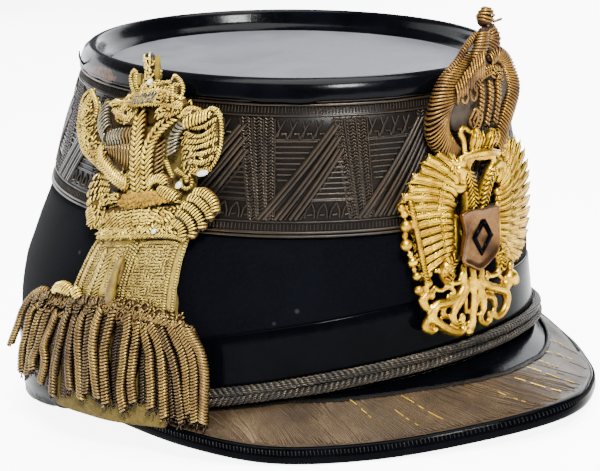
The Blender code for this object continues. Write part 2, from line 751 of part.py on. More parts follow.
build_shell()
build_band("leather_band", LEATHER_FOOT, LEATHER_TOP, PATENT)
build_band("lace_band", LACE_BOTTOM, LACE_EDGE, LACE)
build_crown()
build_peak()
build_peak_lace()
build_binding()
for cord_name, cord_height in zip(("chin_cord_lower", "chin_cord_upper"), CORD_HEIGHTS):
    build_cord(cord_name, cord_height)
build_button("cord_button_right", BUTTON_ANGLE)
build_button("cord_button_left", -BUTTON_ANGLE)
build_plate()
build_shield()
build_cockade()
build_felt()
build_badge_eagle()
build_badge_scroll()
build_badge_panel()
build_badge_loop()
build_fringe()
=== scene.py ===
"""A stiff shako of black cloth and patent leather with tarnished lace, a gilt front plate,
a bullion cockade and an embroidered, fringed side badge.

Pieces are modelled flat, in millimetres, and then wrapped onto the hat. The hat has its own
frame, front towards -Y with its lower rim at height 0, and stands tipped back on the floor.
"""
import math
import random

import bpy
import numpy as np
from mathutils import Matrix, Vector


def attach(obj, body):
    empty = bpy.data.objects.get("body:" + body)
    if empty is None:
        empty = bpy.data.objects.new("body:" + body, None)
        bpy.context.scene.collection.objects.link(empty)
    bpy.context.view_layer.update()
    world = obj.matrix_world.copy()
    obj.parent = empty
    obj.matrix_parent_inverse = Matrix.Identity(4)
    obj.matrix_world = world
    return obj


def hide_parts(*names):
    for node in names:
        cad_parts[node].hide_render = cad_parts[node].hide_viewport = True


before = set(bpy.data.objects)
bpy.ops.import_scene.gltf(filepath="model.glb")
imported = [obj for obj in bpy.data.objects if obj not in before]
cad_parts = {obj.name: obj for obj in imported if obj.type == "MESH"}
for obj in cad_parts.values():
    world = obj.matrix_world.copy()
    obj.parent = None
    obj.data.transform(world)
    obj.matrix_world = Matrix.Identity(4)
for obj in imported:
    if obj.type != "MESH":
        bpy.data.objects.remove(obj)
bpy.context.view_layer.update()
random.seed(7)

MM = 0.001

# The stance: how far the hat is tipped back, and its shift on the floor.
TIP_BACK = math.radians(5.47)
SHIFT_X = 4.97
SHIFT_Y = 18.5
LIFT = 9.71

# Sections of the outer wall. Each is an ellipse in the plane z = height + slope * y.
# Columns: level, half width, half length, centre y, height, slope
SECTIONS = (
    (0.0, 88.3, 103.0, 0.0, 0.0, 0.0),         # lower rim
    (1.0, 88.0, 102.0, -3.1, 24.0, 0.0),       # top of the leather band
    (1.5, 86.7, 100.6, -6.6, 35.0, 0.05),
    (2.0, 84.4, 98.4, -10.6, 46.0, 0.10),      # fullest part of the cloth
    (2.5, 80.7, 94.4, -15.5, 57.5, 0.15),
    (3.0, 75.6, 89.4, -20.7, 68.9, 0.203),     # bottom of the lace
    (4.0, 65.2, 79.0, -34.9, 112.5, 0.203),    # top of the lace
    (5.0, 63.8, 77.6, -36.8, 118.5, 0.203),    # crest
)
SECTION_TABLE = np.array(SECTIONS)
LEATHER_TOP, LACE_BOTTOM, LACE_TOP, CREST = 1.0, 3.0, 4.0, 5.0     # levels
AROUND = 192
SKIN = 1.1                     # thickness of leather band and lace
SHELL = 2.5
GAP = 0.3
CROWN_SINK = 7.0
CROWN_SHEET = 1.8


# ---------------------------------------------------------------- the hat's surfaces
def section(level):
    return [np.interp(level, SECTION_TABLE[:, 0], SECTION_TABLE[:, k]) for k in range(1, 6)]


def outward(angle, half_width, half_length):
    nx = -np.sin(angle) * half_length
    ny = -np.cos(angle) * half_width
    size = np.hypot(nx, ny)
    return nx / size, ny / size


def on_level(angle, level, out, rise=0.0):
    """Points on the wall at angles from the front, towards the wearer's right."""
    half_width, half_length, centre_y, height, slope = section(level)
    nx, ny = outward(angle, half_width, half_length)
    x = -half_width * np.sin(angle) + nx * out
    y = centre_y - half_length * np.cos(angle) + ny * out
    return np.stack(np.broadcast_arrays(x, y, height + slope * y + rise), axis=1)


def on_wall(angle, height, out):
    """The same, but at given heights above the rim."""
    low = np.zeros_like(height)
    high = np.full_like(height, CREST)
    for _ in range(22):
        middle = (low + high) / 2
        _, half_length, centre_y, base, slope = section(middle)
        under = base + slope * (centre_y - half_length * np.cos(angle)) < height
        low = np.where(under, middle, low)
        high = np.where(under, high, middle)
    points = on_level(angle, (low + high) / 2, out)
    points[:, 2] = height
    return points


def on_hat(points):
    """A piece that is already modelled in the hat's own millimetres."""
    return points


def stand(points):
    """Hat millimetres to metres on the floor."""
    x, y, z = points.T
    tipped_y = y * math.cos(TIP_BACK) + z * math.sin(TIP_BACK) + SHIFT_Y
    tipped_z = -y * math.sin(TIP_BACK) + z * math.cos(TIP_BACK) + LIFT
    return np.stack((x + SHIFT_X, tipped_y, tipped_z), axis=1) * MM


LACE_PERIODS = 16
LACE_PERIOD = 30.4             # millimetres along the band
LACE_HIGH = 44.8
LACE_START = math.radians(55.0)


def on_lace(points):
    """Flat lace, x along the band towards the front, y up from its lower edge."""
    x, y, d = points.T
    angle = LACE_START - x / LACE_PERIOD * math.tau / LACE_PERIODS
    return on_level(angle, LACE_BOTTOM + y / LACE_HIGH, d)


BADGE_ANGLE = math.radians(80.0)
BADGE_RADIUS = 92.0


def on_badge(points):
    u, v, d = points.T
    return on_wall(BADGE_ANGLE - u / BADGE_RADIUS, v, d)


PLATE_BEND = 90.0
PLATE_FOOT_Y = -104.1
PLATE_RISE = 0.135
PLATE_TURN = math.radians(6.0)
PLATE_CENTRE = (2.6, 43.0)


def on_plate(points):
    u, v, d = points.T
    dv = v - PLATE_CENTRE[1]
    across = PLATE_CENTRE[0] + u * math.cos(PLATE_TURN) + dv * math.sin(PLATE_TURN)
    up = PLATE_CENTRE[1] - u * math.sin(PLATE_TURN) + dv * math.cos(PLATE_TURN)
    bend = across / PLATE_BEND
    radius = PLATE_BEND + d
    foot = PLATE_FOOT_Y - PLATE_RISE * up + PLATE_BEND
    return np.stack((radius * np.sin(bend), foot - radius * np.cos(bend), up), axis=1)


COCKADE_TOP_Y = -119.2
COCKADE_FOOT_Y = -114.3
COCKADE_BEND, COCKADE_BEND_HIGH = 70.0, 18.0       # where it starts to lean out, and over what height


def on_cockade(points):
    u, v, d = points.T
    part = np.clip((v - COCKADE_BEND) / COCKADE_BEND_HIGH, 0.0, 1.0)
    smooth = part * part * (3 - 2 * part)
    y = COCKADE_FOOT_Y + (COCKADE_TOP_Y - COCKADE_FOOT_Y) * smooth - d
    return np.stack((u, y, v), axis=1)


# The peak. Columns: angle from the front in degrees, reach, drop
PEAK_TABLE = np.array((
    (-15.0, 26.6, 19.2), (0.0, 35.5, 18.6), (15.0, 26.6, 19.2), (31.0, 17.2, 19.2),
    (47.0, 12.4, 16.3), (61.0, 9.0, 9.8), (76.0, 3.8, 2.6), (91.0, -1.0, -3.0)))
PEAK_END = 76.0
BINDING_WIDE = 3.4
BINDING_HIGH = 5.6
BINDING_LEAST = 1.6            # its height over the rim's own, where the peak dies out
PEAK_THICK = 2.0


def peak_edge(degrees):
    """Reach and drop of the peak's edge, smooth through the table's rows."""
    at = np.abs(degrees)
    rows = PEAK_TABLE
    i = np.clip(np.searchsorted(rows[:, 0], at, side="right") - 1, 1, len(rows) - 3)
    a, b, c, d = rows[i - 1], rows[i], rows[i + 1], rows[i + 2]
    width = c[:, 0] - b[:, 0]
    t = ((at - b[:, 0]) / width)[:, None]
    slope_b = (c - a)[:, 1:] / (c - a)[:, :1] * width[:, None]
    slope_c = (d - b)[:, 1:] / (d - b)[:, :1] * width[:, None]
    blend = ((2 * t**3 - 3 * t**2 + 1) * b[:, 1:] + (t**3 - 2 * t**2 + t) * slope_b
             + (3 * t**2 - 2 * t**3) * c[:, 1:] + (t**3 - t**2) * slope_c)
    return blend[:, 0], blend[:, 1]


def on_peak(degrees, out, height):
    angle = np.radians(degrees)
    half_width, half_length = SECTIONS[0][1:3]
    nx, ny = outward(angle, half_width, half_length)
    x = -half_width * np.sin(angle) + nx * out
    y = -half_length * np.cos(angle) + ny * out
    return np.stack(np.broadcast_arrays(x, y, height), axis=1)


def binding_height(drop):
    return np.minimum(BINDING_HIGH, drop + BINDING_LEAST)


def peak_height(out, reach, drop):
    part = np.clip(out, 0.0, None) / reach
    return -GAP - (drop - 0.55 * BINDING_HIGH) * (0.8 * part + 0.2 * part * part)


# ---------------------------------------------------------------- modelling helpers
def active(thing):
    bpy.ops.object.select_all(action="DESELECT")
    thing.select_set(True)
    bpy.context.view_layer.objects.active = thing


def coordinates(thing):
    flat = np.empty(len(thing.data.vertices) * 3)
    thing.data.vertices.foreach_get("co", flat)
    return flat.reshape(-1, 3)


def move_to(thing, points):
    thing.data.vertices.foreach_set("co", points.ravel())
    thing.data.update()


def tidy(thing, weld=0.0005, outside=True):
    """Weld doubled points and turn the faces outwards."""
    active(thing)
    bpy.ops.object.mode_set(mode="EDIT")
    bpy.ops.mesh.select_all(action="SELECT")
    bpy.ops.mesh.remove_doubles(threshold=weld)
    if outside:
        bpy.ops.mesh.normals_make_consistent(inside=False)
    bpy.ops.object.mode_set(mode="OBJECT")


def apply(thing, kind, **settings):
    """Add a modifier, set it up and apply it."""
    active(thing)
    modifier = thing.modifiers.new(kind.lower(), kind)
    for name, value in settings.items():
        setattr(modifier, name, value)
    bpy.ops.object.modifier_apply(modifier=modifier.name)


def grid(name, columns, rows):
    """A flat sheet from 0 to 1 each way."""
    bpy.ops.object.select_all(action="DESELECT")
    bpy.ops.mesh.primitive_grid_add(x_subdivisions=columns, y_subdivisions=rows, size=1.0,
                                    location=(0.0, 0.0, 0.0))
    thing = bpy.context.object
    thing.name = name
    move_to(thing, coordinates(thing) + (0.5, 0.5, 0.0))
    return thing


def closed_rows(spots, rows):
    """Each vertex's row in a closed profile, whose last row meets its first."""
    return np.rint(spots[:, 1] * rows).astype(int) % rows


def ring_sheet(name, profile, columns=AROUND, start=0.0, turn=math.tau):
    """Sweep a profile round the hat. The profile gives, for an array of angles and a row's
    number, that row's points; the last row meets the first."""
    rows = len(profile)
    thing = grid(name, columns, rows)
    spots = coordinates(thing)
    angle = start + spots[:, 0] * turn
    which = closed_rows(spots, rows)
    points = np.empty_like(spots)
    for k in range(rows):
        here = which == k
        points[here] = profile[k](angle[here])
    move_to(thing, points)
    tidy(thing)
    return thing


def smooth_path(points, step):
    """An even, rounded route through a few points; extra columns are carried along."""
    keys = np.array(points, float)
    padded = np.vstack((2 * keys[0] - keys[1], keys, 2 * keys[-1] - keys[-2]))
    fine = []
    for i in range(1, len(padded) - 2):
        a, b, c, d = padded[i - 1:i + 3]
        t = np.linspace(0.0, 1.0, 24, endpoint=False)[:, None]
        fine.append(0.5 * ((2 * b) + (c - a) * t + (2 * a - 5 * b + 4 * c - d) * t**2
                           + (3 * b - a - 3 * c + d) * t**3))
    fine.append(keys[-1:])
    fine = np.vstack(fine)
    run = np.concatenate(([0.0], np.cumsum(np.linalg.norm(np.diff(fine[:, :3], axis=0), axis=1))))
    count = max(2, int(round(run[-1] / step)) + 1)
    at = np.linspace(0.0, run[-1], count)
    return np.stack([np.interp(at, run, fine[:, k]) for k in range(fine.shape[1])], axis=1)


def frames(path):
    """Sideways and upward directions along a route, the first kept in the flat sheet."""
    along = np.gradient(path[:, :3], axis=0)
    along /= np.linalg.norm(along, axis=1)[:, None] + 1e-9
    side = np.cross(along, (0.0, 0.0, 1.0))
    size = np.linalg.norm(side, axis=1)[:, None]
    side = np.where(size > 0.05, side / (size + 1e-9), (1.0, 0.0, 0.0))
    up = np.cross(side, along)
    return side, up


def wound(points, radius, pitch, steps=10, flat=1.0, phase=0.0, hand=1.0, lean=0.0):
    """A wire wound round a padded core. `radius` is the core's, or a fourth column is.
    A lean slants the windings along the core."""
    path = smooth_path(points, pitch / steps)
    side, up = frames(path)
    along = np.cross(up, side)
    turn = hand * np.arange(len(path)) * math.tau / steps + phase
    size = path[:, 3] if path.shape[1] > 3 else np.full(len(path), radius)
    return (path[:, :3] + side * (np.cos(turn) * size)[:, None]
            + up * (np.sin(turn) * size * flat)[:, None]
            + along * (np.cos(turn) * size * lean)[:, None])


def twisted(points, radius, pitch, plies, steps=8, hand=1.0):
    """The plies of a twisted cord."""
    return [wound(points, radius, pitch, steps, phase=math.tau * k / plies, hand=hand)
            for k in range(plies)]


def rods(name, routes, radius, sides=6, caps=True):
    """Round wires along routes, all in one mesh; a fourth column scales the radius."""
    bpy.ops.object.select_all(action="DESELECT")
    bpy.ops.curve.primitive_bezier_curve_add(location=(0.0, 0.0, 0.0))
    thing = bpy.context.object
    thing.name = name
    curve = thing.data
    curve.splines.clear()
    curve.dimensions = "3D"
    curve.bevel_depth = radius
    curve.bevel_resolution = (sides - 4) // 2
    curve.use_fill_caps = caps
    for route in routes:
        route = np.asarray(route, float)
        spline = curve.splines.new("POLY")
        spline.points.add(len(route) - 1)
        full = np.ones((len(route), 4))
        full[:, :3] = route[:, :3]
        spline.points.foreach_set("co", full.ravel())
        if route.shape[1] > 3:
            spline.points.foreach_set("radius", route[:, 3].copy())
    bpy.ops.object.convert(target="MESH")
    thing = bpy.context.object
    if caps:
        tidy(thing)
    return thing


def blobs(name, spots, segments=12, rings=8):
    """Rounded lumps, each at (x, y, z) with half sizes, joined in one mesh."""
    made = []
    for x, y, z, half_x, half_y, half_z in spots:
        bpy.ops.object.select_all(action="DESELECT")
        bpy.ops.mesh.primitive_uv_sphere_add(segments=segments, ring_count=rings, radius=1.0,
                                             location=(x, y, z), scale=(half_x, half_y, half_z))
        made.append(bpy.context.object)
    return join(name, made)


def join(name, things):
    bpy.ops.object.select_all(action="DESELECT")
    for thing in things:
        thing.select_set(True)
    bpy.context.view_layer.objects.active = things[0]
    if len(things) > 1:
        bpy.ops.object.join()
    thing = bpy.context.object
    bpy.ops.object.transform_apply(location=True, rotation=True, scale=True)
    thing.name = name
    return thing


def fuse(thing, voxel, rounds=1):
    """Melt joined forms into one cast or sewn skin, ready for rays to be cast at it."""
    apply(thing, "REMESH", mode="VOXEL", voxel_size=voxel)
    apply(thing, "SMOOTH", factor=0.5, iterations=rounds)
    bpy.context.view_layer.update()


def wrap(thing, surface):
    """Carry a flat piece onto the hat."""
    move_to(thing, stand(surface(coordinates(thing))))
    return thing


def place(thing, material, slot, *nodes):
    """Finish a piece: its material, its body and the solids that it stands for."""
    thing.data.materials.clear()
    thing.data.materials.append(material)
    active(thing)
    bpy.ops.object.shade_smooth()
    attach(thing, "root")
    if nodes:
        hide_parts(*nodes)
    return thing


def sew(thing, surface, material, *nodes):
    """Finish a piece of bullion on one of the hat's surfaces."""
    return place(wrap(thing, surface), material, "gold_bullion", *nodes)


# ---------------------------------------------------------------- material helpers
def node(tree, kind, x=0, y=0, **settings):
    made = tree.nodes.new(kind)
    made.location = (x, y)
    for name, value in settings.items():
        setattr(made, name, value)
    return made


def set_inputs(made, **values):
    for name, value in values.items():
        made.inputs[name.replace("_", " ")].default_value = value
    return made


def new_group(name, inputs, outputs):
    """A shader node group with named sockets and its input and output nodes."""
    tree = bpy.data.node_groups.new(name, "ShaderNodeTree")
    for socket, kind, value in inputs:
        made = tree.interface.new_socket(socket, in_out="INPUT", socket_type=kind)
        made.default_value = value
    for socket, kind in outputs:
        tree.interface.new_socket(socket, in_out="OUTPUT", socket_type=kind)
    return tree, node(tree, "NodeGroupInput", -900), node(tree, "NodeGroupOutput", 700)


COLOUR, NUMBER, VECTOR = "NodeSocketColor", "NodeSocketFloat", "NodeSocketVector"


def noise(tree, scale, detail=3.0, roughness=0.5, x=-600, y=0):
    made = node(tree, "ShaderNodeTexNoise", x, y)
    return set_inputs(made, Scale=scale, Detail=detail, Roughness=roughness)


def remap(tree, source, low, high, to_low=0.0, to_high=1.0, x=-350, y=0):
    made = node(tree, "ShaderNodeMapRange", x, y)
    set_inputs(made, From_Min=low, From_Max=high, To_Min=to_low, To_Max=to_high)
    tree.links.new(source, made.inputs["Value"])
    return made.outputs["Result"]


def blend(tree, factor, first, second, mode="MIX", x=0, y=0):
    """Mix two colours; each may be a socket or a colour."""
    made = node(tree, "ShaderNodeMix", x, y, data_type="RGBA", blend_type=mode)
    for source, socket in ((factor, made.inputs[0]), (first, made.inputs[6]), (second, made.inputs[7])):
        if isinstance(source, bpy.types.NodeSocket):
            tree.links.new(source, socket)
        else:
            socket.default_value = source
    return made.outputs[2]


def maths(tree, operation, first, second, x=0, y=0):
    made = node(tree, "ShaderNodeMath", x, y, operation=operation)
    for source, socket in ((first, made.inputs[0]), (second, made.inputs[1])):
        if isinstance(source, bpy.types.NodeSocket):
            tree.links.new(source, socket)
        else:
            socket.default_value = source
    return made.outputs[0]


def rgb(red, green, blue):
    return (red, green, blue, 1.0)


def thread_group():
    """Metal thread: bright on its crowns, tarnished in patches, and darkened in its hollows as painted
    shade.
    """
    tree, start, end = new_group(
        "metal_thread",
        [("Vector", VECTOR, (0.0, 0.0, 0.0)), ("Cavity", NUMBER, 1.0),
         ("Bright", COLOUR, rgb(0.8, 0.6, 0.3)), ("Dull", COLOUR, rgb(0.4, 0.28, 0.14)),
         ("Dark", COLOUR, rgb(0.03, 0.02, 0.01)), ("Patches", NUMBER, 90.0),
         ("Fibre", NUMBER, 2500.0)],
        [("Color", COLOUR), ("Roughness", NUMBER), ("Height", NUMBER)])
    patches = noise(tree, 90.0, 4.0, 0.6, y=200)
    fibre = noise(tree, 2500.0, 2.0, 0.6, y=-200)
    for made, socket in ((patches, "Patches"), (fibre, "Fibre")):
        tree.links.new(start.outputs["Vector"], made.inputs["Vector"])
        tree.links.new(start.outputs[socket], made.inputs["Scale"])
    worn = remap(tree, patches.outputs["Fac"], 0.38, 0.66, y=200)
    colour = blend(tree, worn, start.outputs["Bright"], start.outputs["Dull"], x=-100)
    # The hollows within the cavity's reach take the dark colour: painted shade between wires and forms.
    hollow = remap(tree, start.outputs["Cavity"], 0.30, 0.88, y=0)
    colour = blend(tree, hollow, start.outputs["Dark"], colour, x=100)
    grain = remap(tree, fibre.outputs["Fac"], 0.3, 0.7, 0.62, 1.12, y=-200)
    tint = node(tree, "ShaderNodeCombineColor", -100, -250)
    for socket in tint.inputs:
        tree.links.new(grain, socket)
    colour = blend(tree, 1.0, colour, tint.outputs[0], "MULTIPLY", x=300)
    tree.links.new(colour, end.inputs["Color"])
    tree.links.new(remap(tree, worn, 0.0, 1.0, 0.26, 0.46, x=300, y=-200), end.inputs["Roughness"])
    tree.links.new(fibre.outputs["Fac"], end.inputs["Height"])
    return tree


def leather_group():
    """Patent leather: fine creases, scuffs and a dusty bloom. On the crown's disc the base and bloom are
    light grey, a painted reflection of bright surroundings.
    """
    tree, start, end = new_group(
        "aged_leather",
        [("Vector", VECTOR, (0.0, 0.0, 0.0)), ("Base", COLOUR, rgb(0.01, 0.01, 0.012)),
         ("Bloom", COLOUR, rgb(0.07, 0.075, 0.09)), ("Bloom Amount", NUMBER, 0.3),
         ("Gloss", NUMBER, 0.22)],
        [("Color", COLOUR), ("Roughness", NUMBER), ("Height", NUMBER)])
    broad = noise(tree, 45.0, 5.0, 0.6, y=250)
    fine = noise(tree, 900.0, 3.0, 0.6, y=0)
    crease = node(tree, "ShaderNodeTexVoronoi", -600, -250, feature="DISTANCE_TO_EDGE")
    crease.inputs["Scale"].default_value = 260.0
    for made in (broad, fine, crease):
        tree.links.new(start.outputs["Vector"], made.inputs["Vector"])
    dusty = remap(tree, broad.outputs["Fac"], 0.42, 0.72, y=250)
    amount = maths(tree, "MULTIPLY", dusty, start.outputs["Bloom Amount"], x=-150, y=200)
    colour = blend(tree, amount, start.outputs["Base"], start.outputs["Bloom"], x=100)
    tree.links.new(colour, end.inputs["Color"])
    scuff = remap(tree, fine.outputs["Fac"], 0.45, 0.75, 0.0, 0.12, y=0)
    rough = maths(tree, "ADD", start.outputs["Gloss"], scuff, x=-100)
    rough = maths(tree, "ADD", rough, maths(tree, "MULTIPLY", amount, 0.5, x=0, y=100), x=150)
    tree.links.new(rough, end.inputs["Roughness"])
    cracks = remap(tree, crease.outputs["Distance"], 0.0, 0.06, 0.0, 0.35, y=-250)
    height = maths(tree, "ADD", cracks, broad.outputs["Fac"], x=100, y=-250)
    tree.links.new(height, end.inputs["Height"])
    return tree


def base_material(name):
    """A material, its shader and its object coordinates."""
    material = bpy.data.materials.new(name)
    material.use_nodes = True
    tree = material.node_tree
    shader = tree.nodes["Principled BSDF"]
    where = node(tree, "ShaderNodeTexCoord", -1200, 0)
    return material, tree, shader, where.outputs["Object"]


def bump(tree, shader, height, strength, distance):
    made = node(tree, "ShaderNodeBump", -200, -500)
    made.inputs["Strength"].default_value = strength
    made.inputs["Distance"].default_value = distance
    tree.links.new(height, made.inputs["Height"])
    tree.links.new(made.outputs["Normal"], shader.inputs["Normal"])


def cavity(tree, reach):
    """How open the surface is to the light, within a reach in millimetres."""
    made = node(tree, "ShaderNodeAmbientOcclusion", -1000, 300, samples=4)
    made.inputs["Distance"].default_value = reach * MM
    return made.outputs["AO"]


# The third colour is painted shade, laid into hollows within reach millimetres of other forms.
def thread_material(name, bright, dull, dark, metallic=0.7, reach=1.2, patches=90.0, specular=0.5):
    material, tree, shader, where = base_material(name)
    threads = node(tree, "ShaderNodeGroup", -600, 100, node_tree=THREADS)
    set_inputs(threads, Bright=rgb(*bright), Dull=rgb(*dull), Dark=rgb(*dark), Patches=patches)
    tree.links.new(where, threads.inputs["Vector"])
    tree.links.new(cavity(tree, reach), threads.inputs["Cavity"])
    tree.links.new(threads.outputs["Color"], shader.inputs["Base Color"])
    tree.links.new(threads.outputs["Roughness"], shader.inputs["Roughness"])
    shader.inputs["Metallic"].default_value = metallic
    shader.inputs["Specular IOR Level"].default_value = specular
    bump(tree, shader, threads.outputs["Height"], 0.35, 0.15 * MM)
    return material


def corded(material, pitch, shade_level, relief):
    """Cover a finish with a swirling texture of close laid wire, its seams darkened as painted shade between
    the wires.
    """
    tree = material.node_tree
    shader = tree.nodes["Principled BSDF"]
    where = tree.nodes["Texture Coordinate"].outputs["Object"]
    wires = node(tree, "ShaderNodeTexWave", -800, -800, bands_direction="DIAGONAL")
    set_inputs(wires, Scale=0.628 / (pitch * MM), Distortion=9.0, Detail=2.0, Detail_Scale=0.35)
    tree.links.new(where, wires.inputs["Vector"])
    # The seams between the wires are darkened here: painted shade.
    painted_seam_shade = remap(tree, wires.outputs["Fac"], 0.05, 0.55, shade_level, 1.0, x=-600, y=-800)
    tint = node(tree, "ShaderNodeCombineColor", -450, -800)
    for socket in tint.inputs:
        tree.links.new(painted_seam_shade, socket)
    plain = shader.inputs["Base Color"].links[0].from_socket
    tree.links.new(blend(tree, 1.0, plain, tint.outputs[0], "MULTIPLY", x=-300, y=-700),
                   shader.inputs["Base Color"])
    lump = node(tree, "ShaderNodeBump", -300, -900)
    lump.inputs["Strength"].default_value = relief
    lump.inputs["Distance"].default_value = 0.35 * pitch * MM
    tree.links.new(wires.outputs["Fac"], lump.inputs["Height"])
    tree.links.new(shader.inputs["Normal"].links[0].from_socket, lump.inputs["Normal"])
    tree.links.new(lump.outputs["Normal"], shader.inputs["Normal"])
    return material


def leather_material(name, base, bloom, amount, gloss, specular=0.4, relief=0.12):
    material, tree, shader, where = base_material(name)
    skin = node(tree, "ShaderNodeGroup", -600, 100, node_tree=LEATHER)
    set_inputs(skin, Base=rgb(*base), Bloom=rgb(*bloom), Bloom_Amount=amount, Gloss=gloss)
    tree.links.new(where, skin.inputs["Vector"])
    tree.links.new(skin.outputs["Color"], shader.inputs["Base Color"])
    tree.links.new(skin.outputs["Roughness"], shader.inputs["Roughness"])
    shader.inputs["Specular IOR Level"].default_value = specular
    bump(tree, shader, skin.outputs["Height"], relief, 0.6 * MM)
    return material


# ---------------------------------------------------------------- the hat's finishes
THREADS = thread_group()
LEATHER = leather_group()


def cloth_material():
    """Black wool cloth: nap, cloudy fading and specks of lint."""
    material, tree, shader, where = base_material("black_wool_cloth")
    nap = noise(tree, 1400.0, 3.0, 0.7, y=300)
    cloudy = noise(tree, 28.0, 4.0, 0.6, y=50)
    lint = node(tree, "ShaderNodeTexVoronoi", -600, -200)
    lint.inputs["Scale"].default_value = 75.0
    for made in (nap, cloudy, lint):
        tree.links.new(where, made.inputs["Vector"])
    colour = blend(tree, remap(tree, nap.outputs["Fac"], 0.3, 0.7, y=300),
                   rgb(0.0004, 0.0005, 0.0009), rgb(0.0015, 0.0017, 0.0029))
    colour = blend(tree, remap(tree, cloudy.outputs["Fac"], 0.5, 0.75, 0.0, 0.5, y=50), colour,
                   rgb(0.0022, 0.0025, 0.0042), x=150)
    speck = remap(tree, lint.outputs["Distance"], 0.035, 0.075, 0.35, 0.0, y=-200)
    colour = blend(tree, speck, colour, rgb(0.035, 0.035, 0.04), x=300)
    tree.links.new(colour, shader.inputs["Base Color"])
    shader.inputs["Roughness"].default_value = 0.95
    shader.inputs["Specular IOR Level"].default_value = 0.02
    shader.inputs["Sheen Weight"].default_value = 0.012
    shader.inputs["Sheen Roughness"].default_value = 0.5
    bump(tree, shader, nap.outputs["Fac"], 0.5, 0.25 * MM)
    return material


CLOTH = cloth_material()
BLACK_PATENT = leather_material("black_patent_leather", (0.0005, 0.0006, 0.0010), (0.004, 0.005, 0.007),
                                0.2, 0.10, 0.022, 0.06)
TORN_ANGLE = math.radians(108.5)


def crown_rim_material():
    """Black patent leather, torn to its raw brown side in one place over the lace."""
    material = leather_material("crown_rim_leather", (0.0005, 0.0006, 0.0010), (0.007, 0.008, 0.012),
                                0.15, 0.13, 0.065, 0.03)
    tree = material.node_tree
    shader = tree.nodes["Principled BSDF"]
    where = tree.nodes["Texture Coordinate"].outputs["Object"]
    centre = Vector(stand(on_level(np.array([TORN_ANGLE]), 4.10, 1.3))[0])
    squash = Vector((1.0, 1.0, 3.8))
    away = node(tree, "ShaderNodeVectorMath", -900, -700, operation="MULTIPLY_ADD")
    away.inputs[1].default_value = squash
    away.inputs[2].default_value = -centre * squash
    tree.links.new(where, away.inputs[0])
    far = node(tree, "ShaderNodeVectorMath", -750, -700, operation="LENGTH")
    tree.links.new(away.outputs[0], far.inputs[0])
    fray = noise(tree, 170.0, 3.0, 0.6, x=-900, y=-900)
    tree.links.new(where, fray.inputs["Vector"])
    frayed = maths(tree, "MULTIPLY_ADD", fray.outputs["Fac"], 0.016, x=-600, y=-800)
    frayed.node.inputs[2].default_value = -0.008
    reach = maths(tree, "ADD", far.outputs["Value"], frayed, x=-450, y=-700)
    torn = remap(tree, reach, 0.0126, 0.0132, 1.0, 0.0, x=-300, y=-700)
    black = shader.inputs["Base Color"].links[0].from_socket
    grain = noise(tree, 600.0, 4.0, 0.6, x=-900, y=-1100)
    tree.links.new(where, grain.inputs["Vector"])
    brown = blend(tree, remap(tree, grain.outputs["Fac"], 0.35, 0.65, x=-400, y=-1100),
                  rgb(0.016, 0.007, 0.004), rgb(0.085, 0.042, 0.022), x=-150, y=-900)
    tree.links.new(blend(tree, torn, black, brown, x=50, y=-600), shader.inputs["Base Color"])
    return material


CROWN_RIM = crown_rim_material()
# The disc's light grey is a painted reflection of bright surroundings on black patent leather, mottled by
# the bloom.
CROWN_DISC = leather_material("crown_disc_leather", (0.070, 0.070, 0.080), (0.110, 0.110, 0.123),
                              0.8, 0.5, 0.3, 0.06)
TARNISHED = thread_material("tarnished_lace", (0.033, 0.022, 0.013), (0.0095, 0.0070, 0.0045),
                            (0.0006, 0.0005, 0.0004), 0.45, 1.6, 60.0, 0.3)
LACE_GROUND = thread_material("lace_ground", (0.0055, 0.0042, 0.0034), (0.0028, 0.0022, 0.0018),
                              (0.0004, 0.0004, 0.0004), 0.0, 1.6, 60.0, 0.08)
CORD_BLACK = thread_material("black_cord", (0.0045, 0.0038, 0.0032), (0.0022, 0.0019, 0.0017),
                             (0.0003, 0.0003, 0.0003), 0.0, 1.2, 140.0, 0.15)
CORD_THREAD = thread_material("cord_thread", (0.085, 0.064, 0.038), (0.018, 0.014, 0.010),
                              (0.001, 0.001, 0.001), 0.4, 1.2, 140.0)
GILT = thread_material("gilt_metal", (0.90, 0.56, 0.030), (0.44, 0.22, 0.009),
                       (0.008, 0.003, 0.001), 1.0, 3.4, 190.0)
BULLION = thread_material("pale_gold_thread", (1.0, 0.72, 0.115), (0.46, 0.27, 0.028),
                          (0.010, 0.004, 0.001), 0.6, 2.2, 140.0)
TARNISHED_BULLION = thread_material("tarnished_bullion", (0.30, 0.26, 0.16), (0.10, 0.080, 0.048),
                                    (0.003, 0.002, 0.001), 0.7, 1.8, 130.0)
FRINGE_GOLD = thread_material("fringe_gold", (0.32, 0.20, 0.050), (0.12, 0.066, 0.018),
                              (0.0025, 0.0014, 0.0007), 0.7, 2.0, 70.0)
FRINGE_BROWN = thread_material("fringe_brown", (0.15, 0.092, 0.030), (0.060, 0.034, 0.012),
                               (0.0016, 0.0010, 0.0005), 0.7, 2.0, 70.0)
COCKADE_GOLD = thread_material("cockade_gold", (0.30, 0.155, 0.026), (0.085, 0.036, 0.008),
                               (0.0025, 0.0012, 0.0005), 0.75, 1.6, 120.0)
# Dark core that shows between the windings: painted shade.
SHADED_COCKADE_CORE = thread_material("cockade_core", (0.030, 0.013, 0.005), (0.014, 0.006, 0.003),
                               (0.001, 0.0006, 0.0003), 0.2, 1.6, 120.0, 0.1)
# The ground under the badge's wires is darker than the thread on it: painted shade between the wires.
BULLION_GROUND = corded(thread_material("pale_gold_ground", (0.26, 0.14, 0.018), (0.10, 0.050, 0.008),
                                        (0.006, 0.003, 0.001), 0.5, 1.8, 200.0), 0.8, 0.03, 1.0)
